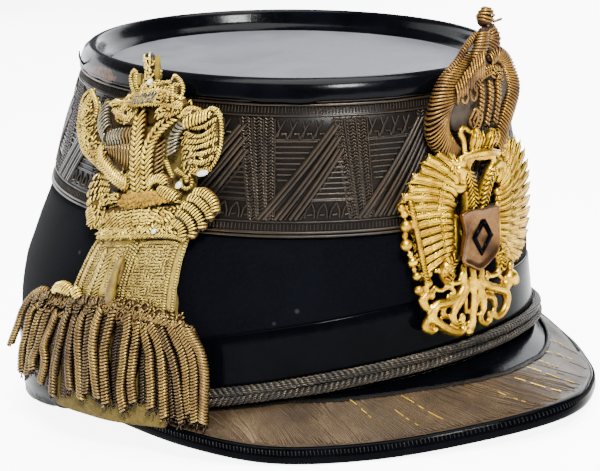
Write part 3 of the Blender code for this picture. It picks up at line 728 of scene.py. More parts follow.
# Dark thread for the padding and sheets that show between wires: painted shade.
PAINTED_SHADE_THREAD = thread_material("thread_in_painted_shade", (0.055, 0.027, 0.006), (0.024, 0.011, 0.003),
                               (0.001, 0.0006, 0.0003), 0.2, 1.8, 200.0, 0.1)
FLAP_GOLD = thread_material("flap_gold", (0.62, 0.45, 0.095), (0.30, 0.19, 0.035),
                            (0.012, 0.006, 0.002), 0.45, 1.4, 150.0)
# A darker fringe gold: painted shade, for strands behind, the form under the wing's ribs and the frayed
# ends.
FRINGE_IN_SHADE = thread_material("fringe_in_painted_shade", (0.060, 0.034, 0.011), (0.022, 0.012, 0.005),
                              (0.0006, 0.0004, 0.0002), 0.6, 2.4, 70.0)
PEAK_RIBBON = thread_material("peak_ribbon", (0.050, 0.034, 0.020), (0.022, 0.015, 0.009),
                              (0.002, 0.0014, 0.001), 0.0, 1.0, 45.0, 0.04)
PEAK_THREAD = thread_material("peak_thread", (0.17, 0.112, 0.056), (0.060, 0.038, 0.020),
                              (0.005, 0.003, 0.002), 0.65, 0.8, 60.0)
BRIGHT_THREAD = thread_material("bright_thread", (0.75, 0.46, 0.02), (0.42, 0.23, 0.008),
                                (0.03, 0.015, 0.002), 0.5, 0.6, 70.0)
COPPER = thread_material("copper", (0.185, 0.092, 0.034), (0.050, 0.024, 0.011),
                         (0.003, 0.0015, 0.001), 1.0, 2.0, 120.0)


def plain_material(name, first, second, scale, roughness, relief, metallic=0.0):
    """A matt stuff of two close colours, mottled."""
    material, tree, shader, where = base_material(name)
    mottle = noise(tree, scale, 5.0, 0.65)
    tree.links.new(where, mottle.inputs["Vector"])
    share = remap(tree, mottle.outputs["Fac"], 0.35, 0.65)
    tree.links.new(blend(tree, share, rgb(*first), rgb(*second)), shader.inputs["Base Color"])
    shader.inputs["Roughness"].default_value = roughness
    shader.inputs["Metallic"].default_value = metallic
    bump(tree, shader, mottle.outputs["Fac"], relief, 0.5 * MM)
    return material


COCKADE_MATT = plain_material("cockade_matt", (0.036, 0.022, 0.009), (0.015, 0.009, 0.004), 500.0, 0.8, 0.3)
FELT = plain_material("yellow_felt", (0.048, 0.030, 0.0002), (0.085, 0.056, 0.0004), 700.0, 0.95, 0.5)
BRIGHT_FELT = plain_material("bright_felt", (0.10, 0.062, 0.0003), (0.19, 0.128, 0.0008), 500.0, 0.95, 0.5)
ROLL_FELT = plain_material("orange_felt", (0.15, 0.070, 0.0003), (0.32, 0.185, 0.001), 420.0, 0.95, 1.0)
# Yellow felt darkened to brown: painted shade, for felt seen in the badge's shadowed gaps.
SHADED_FELT = plain_material("felt_in_painted_shade", (0.022, 0.010, 0.002), (0.060, 0.032, 0.006), 420.0, 0.95, 0.8)
LOOP_LEATHER = plain_material("yellow_leather", (0.165, 0.108, 0.0002), (0.055, 0.024, 0.0002), 160.0, 0.5,
                              0.2)
PEARL = plain_material("pearl", (0.62, 0.60, 0.54), (0.42, 0.38, 0.30), 400.0, 0.2, 0.05)


# ---------------------------------------------------------------- wall of the hat
def level_row(level, out, rise=0.0):
    return lambda angle: stand(on_level(angle, level, out, rise))


def make_cloth():
    """The felt body with its cloth face, open below."""
    face = -SKIN - GAP
    back = face - SHELL
    top = CREST - 0.45
    levels = [0.0, 0.5, 0.98, 1.04] + [1.04 + 0.08 * k for k in range(1, 24)]
    levels += [LACE_BOTTOM, 3.5, LACE_TOP, top]

    def row(level, out):
        def points(angle):
            soft = np.clip((level - LEATHER_TOP) * 1.5, 0.0, 1.0) * (level < LACE_BOTTOM)
            dent = 0.35 * np.sin(3.1 * angle + 4.0 * level) + 0.22 * np.sin(7.3 * angle - 2.0 * level)
            full = out + (SKIN * 0.7 if LEATHER_TOP < level < LACE_BOTTOM and out == face else 0.0)
            return stand(on_level(angle, level, full + dent * soft))
        return points
    profile = [row(level, face) for level in levels] + [row(level, back) for level in reversed(levels)]
    return place(ring_sheet("cloth_body", profile), CLOTH, "black_cloth", "felt_shell")


def make_leather_band():
    round_edge = ((0.0125, -SKIN), (0.0125, -0.25), (0.03, 0.0), (0.25, 0.0), (0.5, 0.0), (0.75, 0.0),
                  (0.975, 0.0), (1.0, -0.25), (1.0, -SKIN), (0.5, -SKIN))
    band = ring_sheet("leather_sweep", [level_row(level, out) for level, out in round_edge])
    return place(band, BLACK_PATENT, "patent_leather", "leather_band")


def make_lace_ground():
    profile = [level_row(level, out) for level, out in (
        (LACE_BOTTOM, -SKIN), (LACE_BOTTOM, -0.3), (3.02, -0.1), (3.25, -0.1), (3.5, -0.1), (3.75, -0.1),
        (4.1, -0.1), (4.1, -SKIN), (3.5, -SKIN))]
    return place(ring_sheet("lace_ground", profile), LACE_GROUND, "tarnished_lace", "lace_band")


def make_crown():
    """Sunk patent leather top; its rim folds down over the upper edge of the lace."""
    def ragged(angle):
        wave = 0.012 * np.sin(5 * angle + 0.6) + 0.008 * np.sin(13 * angle) + 0.006 * np.sin(31 * angle)
        return LACE_TOP + wave

    def fold(out):
        return lambda angle: stand(on_level(angle, ragged(angle), out))

    def disc(share, rise):
        def points(angle):
            _, _, centre_y, height, slope = SECTIONS[-1][1:]
            edge = on_level(angle, CREST, -5.9, rise)
            centre = np.array((0.0, centre_y, height + slope * centre_y + rise))
            return stand(centre + (edge - centre) * share)
        return points
    rim = ((4.12, 1.45, 0.0), (4.5, 1.3, 0.0), (4.8, 1.05, 0.0), (CREST, 0.5, -0.6), (CREST, -0.2, 0.1),
           (CREST, -1.0, 0.5), (CREST, -1.9, 0.62), (CREST, -2.7, 0.4), (CREST, -3.2, -0.2),
           (CREST, -3.6, -1.4), (CREST, -4.0, -3.2), (CREST, -4.5, -4.6), (CREST, -5.0, -5.0),
           (CREST, -5.4, -5.9), (CREST, -6.6, -7.3))
    profile = [fold(GAP), fold(GAP + 0.9)]
    profile += [level_row(*row) for row in rim]
    profile += [level_row(CREST, -6.6, -8.6), level_row(CREST, -3.0, -6.4), level_row(CREST, -1.6, -1.4),
                level_row(4.5, GAP)]
    place(ring_sheet("crown_rim", profile), CROWN_RIM, "patent_leather", "crown_top")
    top = [(1.0, -6.9), (0.985, -6.72), (0.95, -6.8), (0.8, -7.0), (0.6, -7.2), (0.4, -7.35), (0.2, -7.4),
           (0.0, -7.4)]
    profile = [disc(*row) for row in top]
    profile += [disc(share, -CROWN_SINK - CROWN_SHEET) for share in (0.0, 0.5, 1.0)]
    place(ring_sheet("crown_disc", profile), CROWN_DISC, "patent_leather")


def make_curled_thread():
    """A frayed end that curls up from the edge of the crown."""
    foot = on_level(np.radians(np.array([122.0])), 4.4, 1.4)[0]
    steps = ((1.4, 0.2, -2.4, 0.6), (0.0, 0.3, -1.0, 0.7), (-1.2, 0.4, 1.4, 0.6), (-0.9, 0.4, 4.0, 0.4))
    route = [(*(foot + step[:3]), step[3]) for step in steps]
    thread = rods("curled_thread", [smooth_path(route, 0.3)], 0.62, 6)
    place(wrap(thread, on_hat), CORD_BLACK, "dark_cord")


# ---------------------------------------------------------------- peak
PEAK_COLUMNS = 160


def peak_sheet(name, profile, end=PEAK_END):
    """Sweep a closed profile along the peak; each row gets degrees, reach and drop."""
    rows = len(profile)
    thing = grid(name, PEAK_COLUMNS, rows)
    spots = coordinates(thing)
    degrees = (spots[:, 0] * 2 - 1) * end
    which = closed_rows(spots, rows)
    reach, drop = peak_edge(degrees)
    points = np.empty_like(spots)
    for k in range(rows):
        here = which == k
        points[here] = stand(profile[k](degrees[here], reach[here], drop[here]))
    move_to(thing, points)
    active(thing)
    bpy.ops.object.mode_set(mode="EDIT")
    bpy.ops.mesh.select_all(action="SELECT")
    bpy.ops.mesh.remove_doubles(threshold=1e-7)
    bpy.ops.mesh.select_all(action="DESELECT")
    bpy.ops.mesh.select_non_manifold()
    bpy.ops.mesh.edge_face_add()
    bpy.ops.mesh.select_all(action="SELECT")
    bpy.ops.mesh.normals_make_consistent(inside=False)
    bpy.ops.object.mode_set(mode="OBJECT")
    return thing


def make_peak():
    def row(part, low):
        def points(degrees, reach, drop):
            edge = np.maximum(reach - BINDING_WIDE - 0.4, -0.4)
            out = -3.4 + (edge + 3.4) * part
            return on_peak(degrees, out, peak_height(out, reach, drop) - low)
        return points
    parts = np.linspace(0.0, 1.0, 15)
    profile = [row(part, 0.0) for part in parts] + [row(part, PEAK_THICK) for part in reversed(parts)]
    return place(peak_sheet("peak_leather", profile), BLACK_PATENT, "patent_leather", "peak")


# Inner edge of the lace on the peak. Columns: angle from the front in degrees, distance out
PEAK_LACE_INNER = np.array(((-40.0, 2.0), (-24.0, 7.0), (-12.0, 11.2), (0.0, 13.6), (6.0, 11.8), (12.0, 8.9),
                            (18.0, 6.6), (24.0, 4.8), (30.0, 3.4), (36.0, 2.1), (42.0, 0.7)))
LIP_REACH = 1.7                # how far short of the binding's face the lace ends
LIP_SINK = 0.75                # how far under the top of the lip it lies
LIP_CLIMB_FROM, LIP_CLIMB_WIDE = 7.0, 4.6      # where it climbs, back from the binding's face
LIP_SINK_FROM, LIP_SINK_WIDE = 3.7, 2.0        # where it sinks


def peak_lace_out(degrees, part, reach):
    """Distance out from the rim across the peak's lace, 0 at its inner edge."""
    inner = np.interp(degrees, PEAK_LACE_INNER[:, 0], PEAK_LACE_INNER[:, 1])
    edge = reach - LIP_REACH
    return inner + (edge - inner) * part


def peak_lace_height(out, reach, drop):
    """The lace lies on the peak, then climbs to the binding's lip, or sinks to it past the leather."""
    flat = peak_height(out, reach, drop)
    lip = binding_height(drop) - drop - LIP_SINK
    climb = (out - reach + LIP_CLIMB_FROM) / LIP_CLIMB_WIDE
    sink = (out - reach + LIP_SINK_FROM) / LIP_SINK_WIDE
    share = np.clip(np.where(lip > flat, climb, sink), 0.0, 1.0)
    return flat + (lip - flat) * share * share * (3 - 2 * share)


def peak_lace_point(degrees, part, rise, reach, drop):
    out = peak_lace_out(degrees, part, reach)
    return on_peak(degrees, out, peak_lace_height(out, reach, drop) + rise)


def on_peak_lace(points):
    """Flat peak lace: x in degrees towards the wearer's left, y across it, z off the peak."""
    degrees, part, rise = -points[:, 0], points[:, 1], points[:, 2]
    return peak_lace_point(degrees, part, rise, *peak_edge(degrees))


def make_peak_lace():
    def row(part, rise):
        return lambda degrees, reach, drop: peak_lace_point(degrees, part, rise, reach, drop)
    top = [(0.0, 0.7), (0.03, 0.95)] + [(part, 1.0) for part in np.linspace(0.1, 0.9, 15)]
    top += [(0.95, 0.98), (0.98, 0.92), (1.0, 0.7)]
    profile = [row(*spot) for spot in top] + [row(part, 0.3) for part in np.linspace(1.0, 0.0, 10)]
    ribbon = peak_sheet("peak_ribbon", profile, PEAK_END - 4.0)
    return place(ribbon, PEAK_RIBBON, "peak_lace", "peak_lace")


def make_binding():
    """Rolled leather edge with a flat stitched lip on top."""
    outline = ((-1.7, 0.2), (-1.7, 0.62), (-1.5, 0.86), (-0.9, 0.97), (0.0, 1.0), (0.8, 0.93), (1.3, 0.78),
               (1.35, 0.66), (1.62, 0.52), (1.75, 0.32), (1.55, 0.12), (1.0, 0.02), (0.0, 0.0), (-1.0, 0.04))

    def row(across, up):
        def points(degrees, reach, drop):
            return on_peak(degrees, reach - BINDING_WIDE / 2 + across, -drop + binding_height(drop) * up)
        return points
    return place(peak_sheet("binding_roll", [row(*spot) for spot in outline]), BLACK_PATENT,
                 "patent_leather", "peak_binding")


# ---------------------------------------------------------------- embroidery helpers
def depth_of(body, u, v, missing):
    """How far out a flat body stands at (u, v)."""
    hit, spot, _, _ = body.ray_cast((u, v, 60.0), (0.0, 0.0, -1.0))
    return spot.z if hit else missing


def laid(body, points, rise=0.3, missing=3.0, step=0.6):
    """A route over a body's relief, through points (u, v) or (u, v, lift)."""
    keys = [tuple(point) + (0.0,) * (3 - len(point)) for point in points]
    path = smooth_path(keys, step)
    depth = np.array([depth_of(body, u, v, missing) for u, v in path[:, :2]])
    padded = np.pad(depth, 2, mode="edge")
    soft = np.convolve(padded, np.ones(5) / 5, mode="valid")
    path[:, 2] += np.maximum(soft, depth - 0.3) + rise
    return path


def inside(points, outline):
    """Which points lie inside a closed outline."""
    x, y = points.T
    found = np.zeros(len(points), bool)
    ends = list(outline[1:]) + [outline[0]]
    for (ax, ay), (bx, by) in zip(outline, ends):
        crosses = (ay > y) != (by > y)
        at = ax + (y - ay) / (by - ay + 1e-12) * (bx - ax)
        found ^= crosses & (x < at)
    return found


def chips(body, outline, spacing, length, heading=None, spread=0.5, rise=0.25, curl=0.5):
    """Short snips of coiled wire sewn over a body inside an outline."""
    low = np.min(outline, axis=0)
    high = np.max(outline, axis=0)
    columns = int((high[0] - low[0]) / spacing) + 1
    rows = int((high[1] - low[1]) / spacing) + 1
    made = []
    for row in range(rows):
        for column in range(columns):
            u = low[0] + (column + 0.5 * (row % 2) + random.uniform(-0.25, 0.25)) * spacing
            v = low[1] + (row + random.uniform(-0.25, 0.25)) * spacing
            if not inside(np.array([(u, v)]), outline)[0]:
                continue
            turn = random.uniform(0, math.tau) if heading is None else heading + random.gauss(0, spread)
            half = length * random.uniform(0.35, 0.6)
            du, dv = half * math.cos(turn), half * math.sin(turn)
            d = depth_of(body, u, v, 3.0) + rise
            bow = curl * random.uniform(0.2, 1.0)
            side_u, side_v = -dv * random.uniform(-0.5, 0.5), du * random.uniform(-0.5, 0.5)
            made.append([(u - du, v - dv, d - bow * 0.5),
                         (u - 0.4 * du + side_u, v - 0.4 * dv + side_v, d + bow * 0.3),
                         (u + 0.4 * du + side_u, v + 0.4 * dv + side_v, d + bow * 0.3),
                         (u + du, v + dv, d - bow * 0.5)])
    return made


def edging(route, radius=0.46, pitch=1.8):
    """A fine cord of two wires wound together."""
    return [wound(route, radius, pitch, 8, phase=turn) for turn in (0.0, math.pi)]


def barrel(path, size, pitch=0.82, steps=8, flat=0.8):
    """A padded band wound with wire, rounded off at both ends."""
    share = np.linspace(-1.0, 1.0, len(path))
    round_off = np.sqrt(np.clip(1.06 - np.abs(share)**5, 0.08, 1.0))
    return wound(np.column_stack((path[:, :3], size * round_off)), size, pitch, steps, flat)


def herringbone(body, points, width, pitch, rise=0.9):
    """Two rows of slanting stitches that meet in a chevron down the middle."""
    path = laid(body, points, rise, step=pitch)
    side, _ = frames(path)
    along = np.gradient(path[:, :3], axis=0)
    along /= np.linalg.norm(along, axis=1)[:, None]
    made = []
    for spot, across, on in zip(path[:, :3], side, along):
        for way in (-1.0, 1.0):
            out = across * way
            made.append([spot + on * width * 0.30 + out * width * 0.02 + (0, 0, -0.2),
                         spot + on * width * 0.14 + out * width * 0.14 + (0, 0, 0.35),
                         spot - on * width * 0.10 + out * width * 0.36 + (0, 0, 0.1),
                         spot - on * width * 0.22 + out * width * 0.47 + (0, 0, -0.8)])
    return made


def limbs(name, table, sides=10):
    """Padded limbs through (u, v, d, radius) points, ends rounded."""
    made = []
    for points in table:
        path = smooth_path(points, 0.8)
        made.append(rods(name, [path], 1.0, sides))
        for u, v, d, radius in (path[0], path[-1]):
            made.append(blobs(name, [(u, v, d, radius, radius, radius)], 10, 6))
    return made


# ---------------------------------------------------------------- side badge
# Outline of the yellow felt, from the top down.
# Columns: left height, right height, left edge, right edge, stand-off from the wall.
FELT_ROWS = np.array((
    (115.4, 114.6, -9.2, -2.0, 2.4),
    (109.8, 106.8, -9.8, -1.8, 2.4),
    (109.0, 105.8, -15.0, 3.0, 2.4),
    (103.6, 102.4, -16.6, 8.4, 2.4),
    (101.4, 98.8, -23.6, 11.4, 2.2),
    (96.0, 95.4, -26.4, 14.0, 1.6),
    (88.0, 88.0, -24.0, 19.0, 0.8),
    (80.0, 80.0, -19.0, 20.6, 0.4),
    (72.0, 71.0, -16.0, 20.0, 0.4),
    (58.0, 57.0, -13.0, 20.4, 0.4),
    (44.0, 42.0, -15.0, 23.4, 0.4),
    (30.0, 28.0, -22.0, 28.0, 0.4),
    (18.0, 14.0, -22.0, 29.0, 3.6),
    (9.0, 3.0, -21.0, 27.0, 5.2),
    (4.8, -3.0, -18.9, 23.6, 6.0)))
FELT_THICK = 1.1
FELT_SAG = 0.8
BADGE_VOXEL = 0.42             # grain of the padded forms
COIL_WIRE = 0.42               # radius of the coiled wire, its edge cords and its snips
EDGE_WIRE = 0.33
SNIP_WIRE = 0.36
WING_REST = 4.4                # where a wire lies that runs past its padding


def make_badge_felt():
    """Yellow felt backing, its lower edge bellied and a little wavy."""
    felt = grid("badge_backing", 48, 110)
    spots = coordinates(felt)
    across = spots[:, 0]
    down = (1.0 - spots[:, 1]) * (len(FELT_ROWS) - 1)
    row = [np.interp(down, np.arange(len(FELT_ROWS)), FELT_ROWS[:, k]) for k in range(5)]
    u = row[2] + (row[3] - row[2]) * across
    v = row[0] + (row[1] - row[0]) * across
    foot = np.clip(down - (len(FELT_ROWS) - 2), 0.0, 1.0)
    v -= foot * FELT_SAG * np.sin(math.pi * across)
    u += 0.25 * np.sin(v * 0.9) * np.abs(across - 0.5) * 2
    d = row[4] + FELT_THICK + 0.15 * np.sin(u * 0.35) * foot
    move_to(felt, np.stack((u, v, d), axis=1))
    apply(felt, "SOLIDIFY", thickness=FELT_THICK, offset=-1.0)
    return place(wrap(felt, on_badge), FELT, "yellow_felt", "badge_felt")


def patch(name, corners, depth, material, slot):
    """A small piece of stuff between four corners, given round it."""
    thing = grid(name, 8, 8)
    spots = coordinates(thing)
    corners = np.array(corners, float)
    x, y = spots[:, :1], spots[:, 1:2]
    top = corners[0] * (1 - x) + corners[1] * x
    foot = corners[3] * (1 - x) + corners[2] * x
    flat = top * y + foot * (1 - y)
    bulge = 0.3 * np.sin(math.pi * x) * np.sin(math.pi * y)
    move_to(thing, np.column_stack((flat, depth + bulge)))
    apply(thing, "SOLIDIFY", thickness=0.8, offset=-1.0)
    return place(wrap(thing, on_badge), material, slot)


BADGE_TOP_LIMBS = (
    # crown: its rim, dome and right horn
    ((-13.5, 101.9, 5.0, 1.6), (-6.5, 101.9, 5.6, 2.0), (-0.4, 102.0, 5.8, 2.0), (6.6, 100.8, 5.4, 1.9),
     (11.6, 99.0, 5.0, 1.4)),
    ((-6.8, 104.6, 5.0, 1.6), (-4.0, 105.4, 5.2, 2.2), (1.0, 104.2, 5.2, 2.0), (4.0, 103.4, 5.0, 1.5)),
    ((8.5, 99.8, 4.6, 1.8), (8.0, 102.6, 4.6, 1.9), (6.8, 105.8, 4.5, 1.0)),
    # heads
    ((-17.0, 98.8, 5.0, 1.4), (-14.0, 98.2, 5.4, 2.5), (-10.4, 97.6, 5.4, 2.6), (-8.0, 95.6, 5.0, 1.7)),
    ((-14.0, 101.2, 5.2, 1.3), (-19.0, 102.0, 5.2, 1.3), (-22.0, 101.2, 4.8, 0.9)),
    ((-17.0, 98.8, 5.2, 1.1), (-20.2, 99.6, 5.0, 0.6)),
    ((3.1, 97.1, 5.2, 1.9), (6.7, 96.8, 5.4, 2.1), (9.9, 97.6, 5.2, 1.6), (12.4, 98.0, 5.0, 1.2)),
    # left wing, arm and fist
    ((-40.6, 105.4, 4.0, 1.5), (-39.6, 101.6, 4.0, 3.4), (-38.1, 97.7, 4.0, 3.9), (-35.1, 93.8, 4.0, 4.1),
     (-32.5, 90.2, 4.0, 3.6), (-27.2, 87.1, 4.0, 2.9), (-21.0, 83.4, 4.0, 2.2), (-16.8, 81.0, 4.0, 1.6)),
    ((-28.1, 102.1, 4.4, 1.4), (-26.3, 98.3, 4.6, 1.9), (-23.6, 94.7, 4.6, 2.0), (-21.5, 92.4, 4.6, 1.8)),
    ((-21.5, 91.4, 4.4, 1.8), (-17.1, 91.8, 4.6, 2.1), (-12.6, 92.0, 4.6, 2.1), (-8.6, 92.0, 4.4, 1.7)),
    ((-23.7, 87.7, 3.8, 1.5), (-21.2, 84.4, 3.9, 1.6), (-16.7, 81.1, 4.0, 1.6), (-11.6, 78.0, 4.2, 1.7),
     (-6.1, 75.5, 4.2, 1.7)),
    # right wing, its upper arm and puffs
    ((24.2, 93.0, 4.0, 2.0), (24.9, 89.3, 4.0, 3.0), (25.3, 84.7, 4.0, 3.4), (24.1, 80.8, 4.0, 3.2),
     (21.6, 77.4, 3.8, 2.2)),
    ((23.7, 94.2, 4.6, 1.4), (17.6, 93.3, 4.8, 1.7), (13.3, 91.4, 4.8, 1.7), (11.6, 87.0, 4.6, 1.6),
     (11.6, 84.2, 4.4, 1.3)),
    ((13.3, 95.0, 5.0, 1.3), (16.0, 95.6, 5.2, 1.8), (19.8, 94.9, 5.0, 1.4)),
    ((22.3, 94.6, 4.6, 1.3), (24.5, 94.7, 4.6, 1.6), (26.6, 93.8, 4.4, 1.3)),
)
WING_LUMPS = ((-42.0, 101.6, 4.8, 1.9), (-39.4, 103.4, 5.0, 1.7), (-38.6, 99.4, 5.6, 2.3),
              (-42.2, 97.4, 4.6, 2.0), (-37.4, 95.4, 5.4, 2.4), (-34.2, 97.0, 5.0, 2.0),
              (-39.4, 93.4, 4.6, 2.0), (-33.8, 92.2, 5.2, 2.3), (-35.6, 89.4, 4.6, 1.9),
              (-29.8, 89.4, 5.0, 2.2), (-30.6, 86.4, 4.4, 1.8), (-25.4, 86.2, 4.6, 1.9))

# Stuff that shows between the wires: bright felt, and brown and dark sheets that are painted shade. Columns:
# name, corners, depth, material, slot
BADGE_PATCHES = (
    ("horn_felt", ((-15.2, 110.4), (-10.8, 110.0), (-9.8, 106.4), (-13.4, 106.4)),
     4.8, BRIGHT_FELT, "yellow_felt"),
    ("neck_hollow", ((-6.8, 99.2), (2.0, 98.8), (3.0, 93.4), (-5.6, 93.6)),
     3.4, PAINTED_SHADE_THREAD, "gold_bullion"),
    ("arm_hollow", ((-26.6, 102.4), (-15.0, 99.6), (-9.0, 93.0), (-23.0, 92.0)),
     3.7, SHADED_FELT, "yellow_felt"),
    ("slot_hollow", ((-24.0, 89.4), (-7.0, 89.4), (-6.0, 79.0), (-15.4, 80.0)),
     3.4, SHADED_FELT, "yellow_felt"),
    ("chest_felt", ((-18.0, 77.0), (-9.6, 76.6), (-8.6, 72.8), (-16.8, 73.4)),
     3.9, SHADED_FELT, "yellow_felt"),
    ("chest_slot", ((-14.0, 73.9), (-9.8, 73.7), (-9.8, 71.2), (-12.6, 71.4)),
     4.4, CORD_BLACK, "dark_cord"))


def make_badge_top():
    """Crown, two heads on plaited necks, and two spread wings."""
    pieces = limbs("badge_limb", BADGE_TOP_LIMBS)
    pieces.append(blobs("wing_lumps", [(u, v, d, r, r, r * 0.8) for u, v, d, r in WING_LUMPS], 12, 8))
    body = join("badge_emblem", pieces)
    flat = coordinates(body)
    low = np.interp(flat[:, 0], (-30.0, -24.0, 17.0, 22.0), (0.55, 1.0, 1.0, 0.6))
    flat[:, 2] = 3.2 + (flat[:, 2] - 3.2 - 0.6 * (1 - low)) * low
    move_to(body, flat)
    fuse(body, BADGE_VOXEL)
    necks = join("badge_necks", limbs("neck_limb", (
        ((-5.8, 96.4, 4.2, 1.6), (-4.2, 89.9, 4.6, 1.9), (-2.3, 81.4, 4.8, 1.9), (0.8, 72.4, 4.6, 1.8)),
        ((10.0, 95.4, 4.2, 1.5), (4.8, 92.3, 4.4, 1.7), (1.8, 87.0, 4.6, 1.8), (1.9, 81.0, 4.8, 1.8),
         (4.4, 72.2, 4.6, 1.8)),
        ((2.5, 87.9, 3.4, 1.6), (3.6, 82.0, 3.8, 1.6), (5.4, 75.9, 4.0, 1.6)))))
    fuse(necks, BADGE_VOXEL)
    # A dark padded form under the right wing's ribs: painted shade.
    shade = join("wing_painted_shade", limbs("shade_limb", (
        ((15.2, 89.1, 3.4, 2.2), (17.8, 86.5, 3.8, 3.0), (18.4, 82.7, 3.8, 3.0), (18.0, 79.1, 3.6, 2.2)),)))
    fuse(shade, BADGE_VOXEL)

    def over(points, rise=0.3):
        return laid(body, points, rise, WING_REST)
    # Plaited necks and the plaited quill
    plaits = herringbone(necks, [(-6.0, 97.0), (-5.2, 93.9), (-4.2, 89.9), (-3.4, 86.1), (-2.3, 81.4),
                                 (-0.7, 76.6), (0.7, 71.8)], 5.0, 1.62, 0.4)
    plaits += herringbone(necks, [(11.4, 95.8), (7.7, 94.3), (4.8, 92.3), (2.6, 89.6), (1.6, 86.3),
                                  (1.9, 82.0), (3.2, 77.0), (4.6, 71.8)], 4.7, 1.62, 0.4)
    plaits += herringbone(body, [(-24.6, 89.0), (-21.2, 84.4), (-16.7, 81.1), (-11.6, 78.0), (-6.1, 75.5)],
                          3.4, 1.3, 0.4)
    # A third row of stitches, in darker gold as painted shade.
    third = []
    for k in range(9):
        t = k / 8
        u, v = 4.9 + 2.1 * t, 87.4 - 11.0 * t
        third.append(laid(necks, [(u - 1.5, v - 1.2), (u + 0.8, v + 0.6)], 0.3))
    # Coiled wire of the arms, tarnished grey on the left one and on the lower right one
    coils = [barrel(over([(23.9, 94.4), (20.7, 93.8), (17.6, 93.3), (14.6, 92.2)], 0.0), 1.75, 1.05, 10)]
    tarnished = [
        wound(over([(-26.4, 100.8), (-24.8, 97.6), (-22.6, 94.4), (-20.4, 92.0)], -0.4), 2.0, 1.3, 10, 0.85,
              lean=0.7),
        wound(over([(15.0, 92.8), (13.3, 91.2), (12.1, 89.3), (11.6, 87.0), (11.6, 83.8)], -0.1), 1.85, 1.2,
              10, 0.85, lean=0.5)]
    # Wires at the right of the fist and those hanging below it go in darker gold: painted shade.
    wires_in_shade = []
    for k in range(12):
        t = k / 11
        u = -22.6 + 15.2 * t
        high = 93.4 + 0.5 * math.sin(math.pi * t) - 1.6 * (1 - t)**3
        wire = over([(u + 0.4, high), (u + 0.1, 91.0), (u - 0.1, 87.8)], 0.3)
        (tarnished if k < 8 else wires_in_shade).append(wire)
    for k in range(9):
        u = -8.2 + 1.25 * k
        tarnished.append(over([(u - 0.9, 101.0), (u + 0.9, 103.6)], 0.45))
    for k in range(10):
        t = k / 9
        u = -21.4 + 13.6 * t
        foot = 85.6 - 6.2 * t
        wires_in_shade.append([(u, 88.4, 5.2), (u + 0.3, (88.4 + foot) / 2, 4.3), (u + 0.9, foot, 4.0)])
    edges = []
    for points in (
            [(-41.2, 106.7), (-44.6, 105.0), (-45.4, 102.4), (-44.6, 98.6), (-42.6, 94.4), (-38.0, 90.0),
             (-33.4, 86.6), (-26.4, 83.6), (-19.6, 80.6)],
            [(-41.2, 106.7), (-36.6, 104.4), (-33.0, 101.4), (-31.6, 98.0)],
            [(-40.8, 105.0), (-42.8, 101.6), (-41.2, 98.6), (-38.8, 100.6), (-39.2, 104.0), (-40.8, 105.0)],
            [(26.2, 95.2), (28.2, 91.9), (29.2, 87.3), (29.3, 83.3), (28.3, 79.8), (26.5, 77.4),
             (23.0, 75.8)],
            [(-13.4, 103.0), (-6.5, 103.9), (0.4, 104.2), (6.5, 102.8), (12.4, 100.0)],
            [(-12.8, 101.0), (-5.4, 100.4), (0.2, 100.3), (6.6, 99.1), (13.0, 97.8)],
            [(-8.5, 102.6), (-8.3, 105.0), (-7.0, 107.0), (-4.9, 108.0), (-1.5, 106.4), (1.4, 105.9),
             (4.1, 105.9), (5.9, 103.9), (6.4, 101.6)],
            [(-5.4, 103.0), (-4.6, 105.4), (-3.4, 106.8)], [(-1.8, 103.2), (-1.2, 105.0), (-1.6, 106.6)],
            [(3.6, 103.0), (5.0, 104.4), (6.0, 102.6), (4.6, 101.6), (3.6, 103.0)],
            [(-10.6, 102.8), (-12.6, 105.0), (-14.6, 107.4), (-15.6, 109.8), (-14.2, 111.2), (-12.8, 109.6),
             (-11.9, 107.1), (-10.3, 104.5)],
            [(7.4, 100.1), (6.2, 103.6), (5.5, 106.2), (6.6, 107.6), (8.6, 106.2), (10.8, 103.7),
             (11.2, 100.0)],
            [(9.3, 99.9), (8.2, 102.8), (7.2, 104.9), (9.4, 104.7)],
            [(-11.3, 100.7), (-8.6, 99.6), (-7.8, 97.7), (-10.0, 96.8), (-12.9, 98.0), (-13.3, 99.9),
             (-11.3, 100.7)],
            [(-15.0, 101.6), (-19.1, 102.4), (-22.4, 101.6)], [(-16.6, 98.4), (-19.0, 99.8), (-20.8, 99.8)],
            [(-16.4, 97.2), (-13.4, 95.4), (-9.6, 94.6)],
            [(3.4, 97.4), (5.6, 98.8), (8.4, 98.6), (10.8, 99.4), (13.0, 98.2)],
            [(4.0, 95.4), (6.4, 96.4), (9.4, 96.0), (12.2, 96.8)],
            [(13.0, 94.6), (14.4, 96.6), (17.2, 97.0), (20.2, 95.8)],
            [(21.8, 94.8), (23.6, 96.0), (26.0, 95.2)],
            [(13.4, 78.6), (15.4, 77.4), (17.6, 76.2), (18.6, 74.2)],
            [(8.6, 82.0), (10.6, 79.0), (12.6, 76.2)],
            [(19.6, 79.6), (19.4, 77.4), (19.0, 75.6)]):
        edges += edging(over(points, 0.35))
    # Bright ribs across the right wing
    for points in (
            [(16.1, 91.2), (19.3, 90.5), (22.7, 90.9), (26.6, 92.6)],
            [(15.5, 89.8), (18.5, 88.5), (20.6, 87.8), (23.2, 88.2), (26.7, 89.9)],
            [(16.9, 87.2), (19.3, 86.6), (22.8, 86.4), (27.3, 88.0)],
            [(17.6, 85.3), (21.2, 84.6), (24.5, 85.1), (28.0, 86.5)],
            [(19.2, 83.0), (22.7, 82.4), (25.6, 82.9), (28.4, 83.7)],
            [(19.2, 80.9), (22.1, 79.8), (25.0, 80.0), (27.7, 81.0)],
            [(20.2, 77.9), (22.9, 77.2), (25.7, 77.6)]):
        lifted = np.maximum(over(points, 0.5), laid(shade, points, 0.5))
        edges += edging(lifted, 0.55, 1.9)
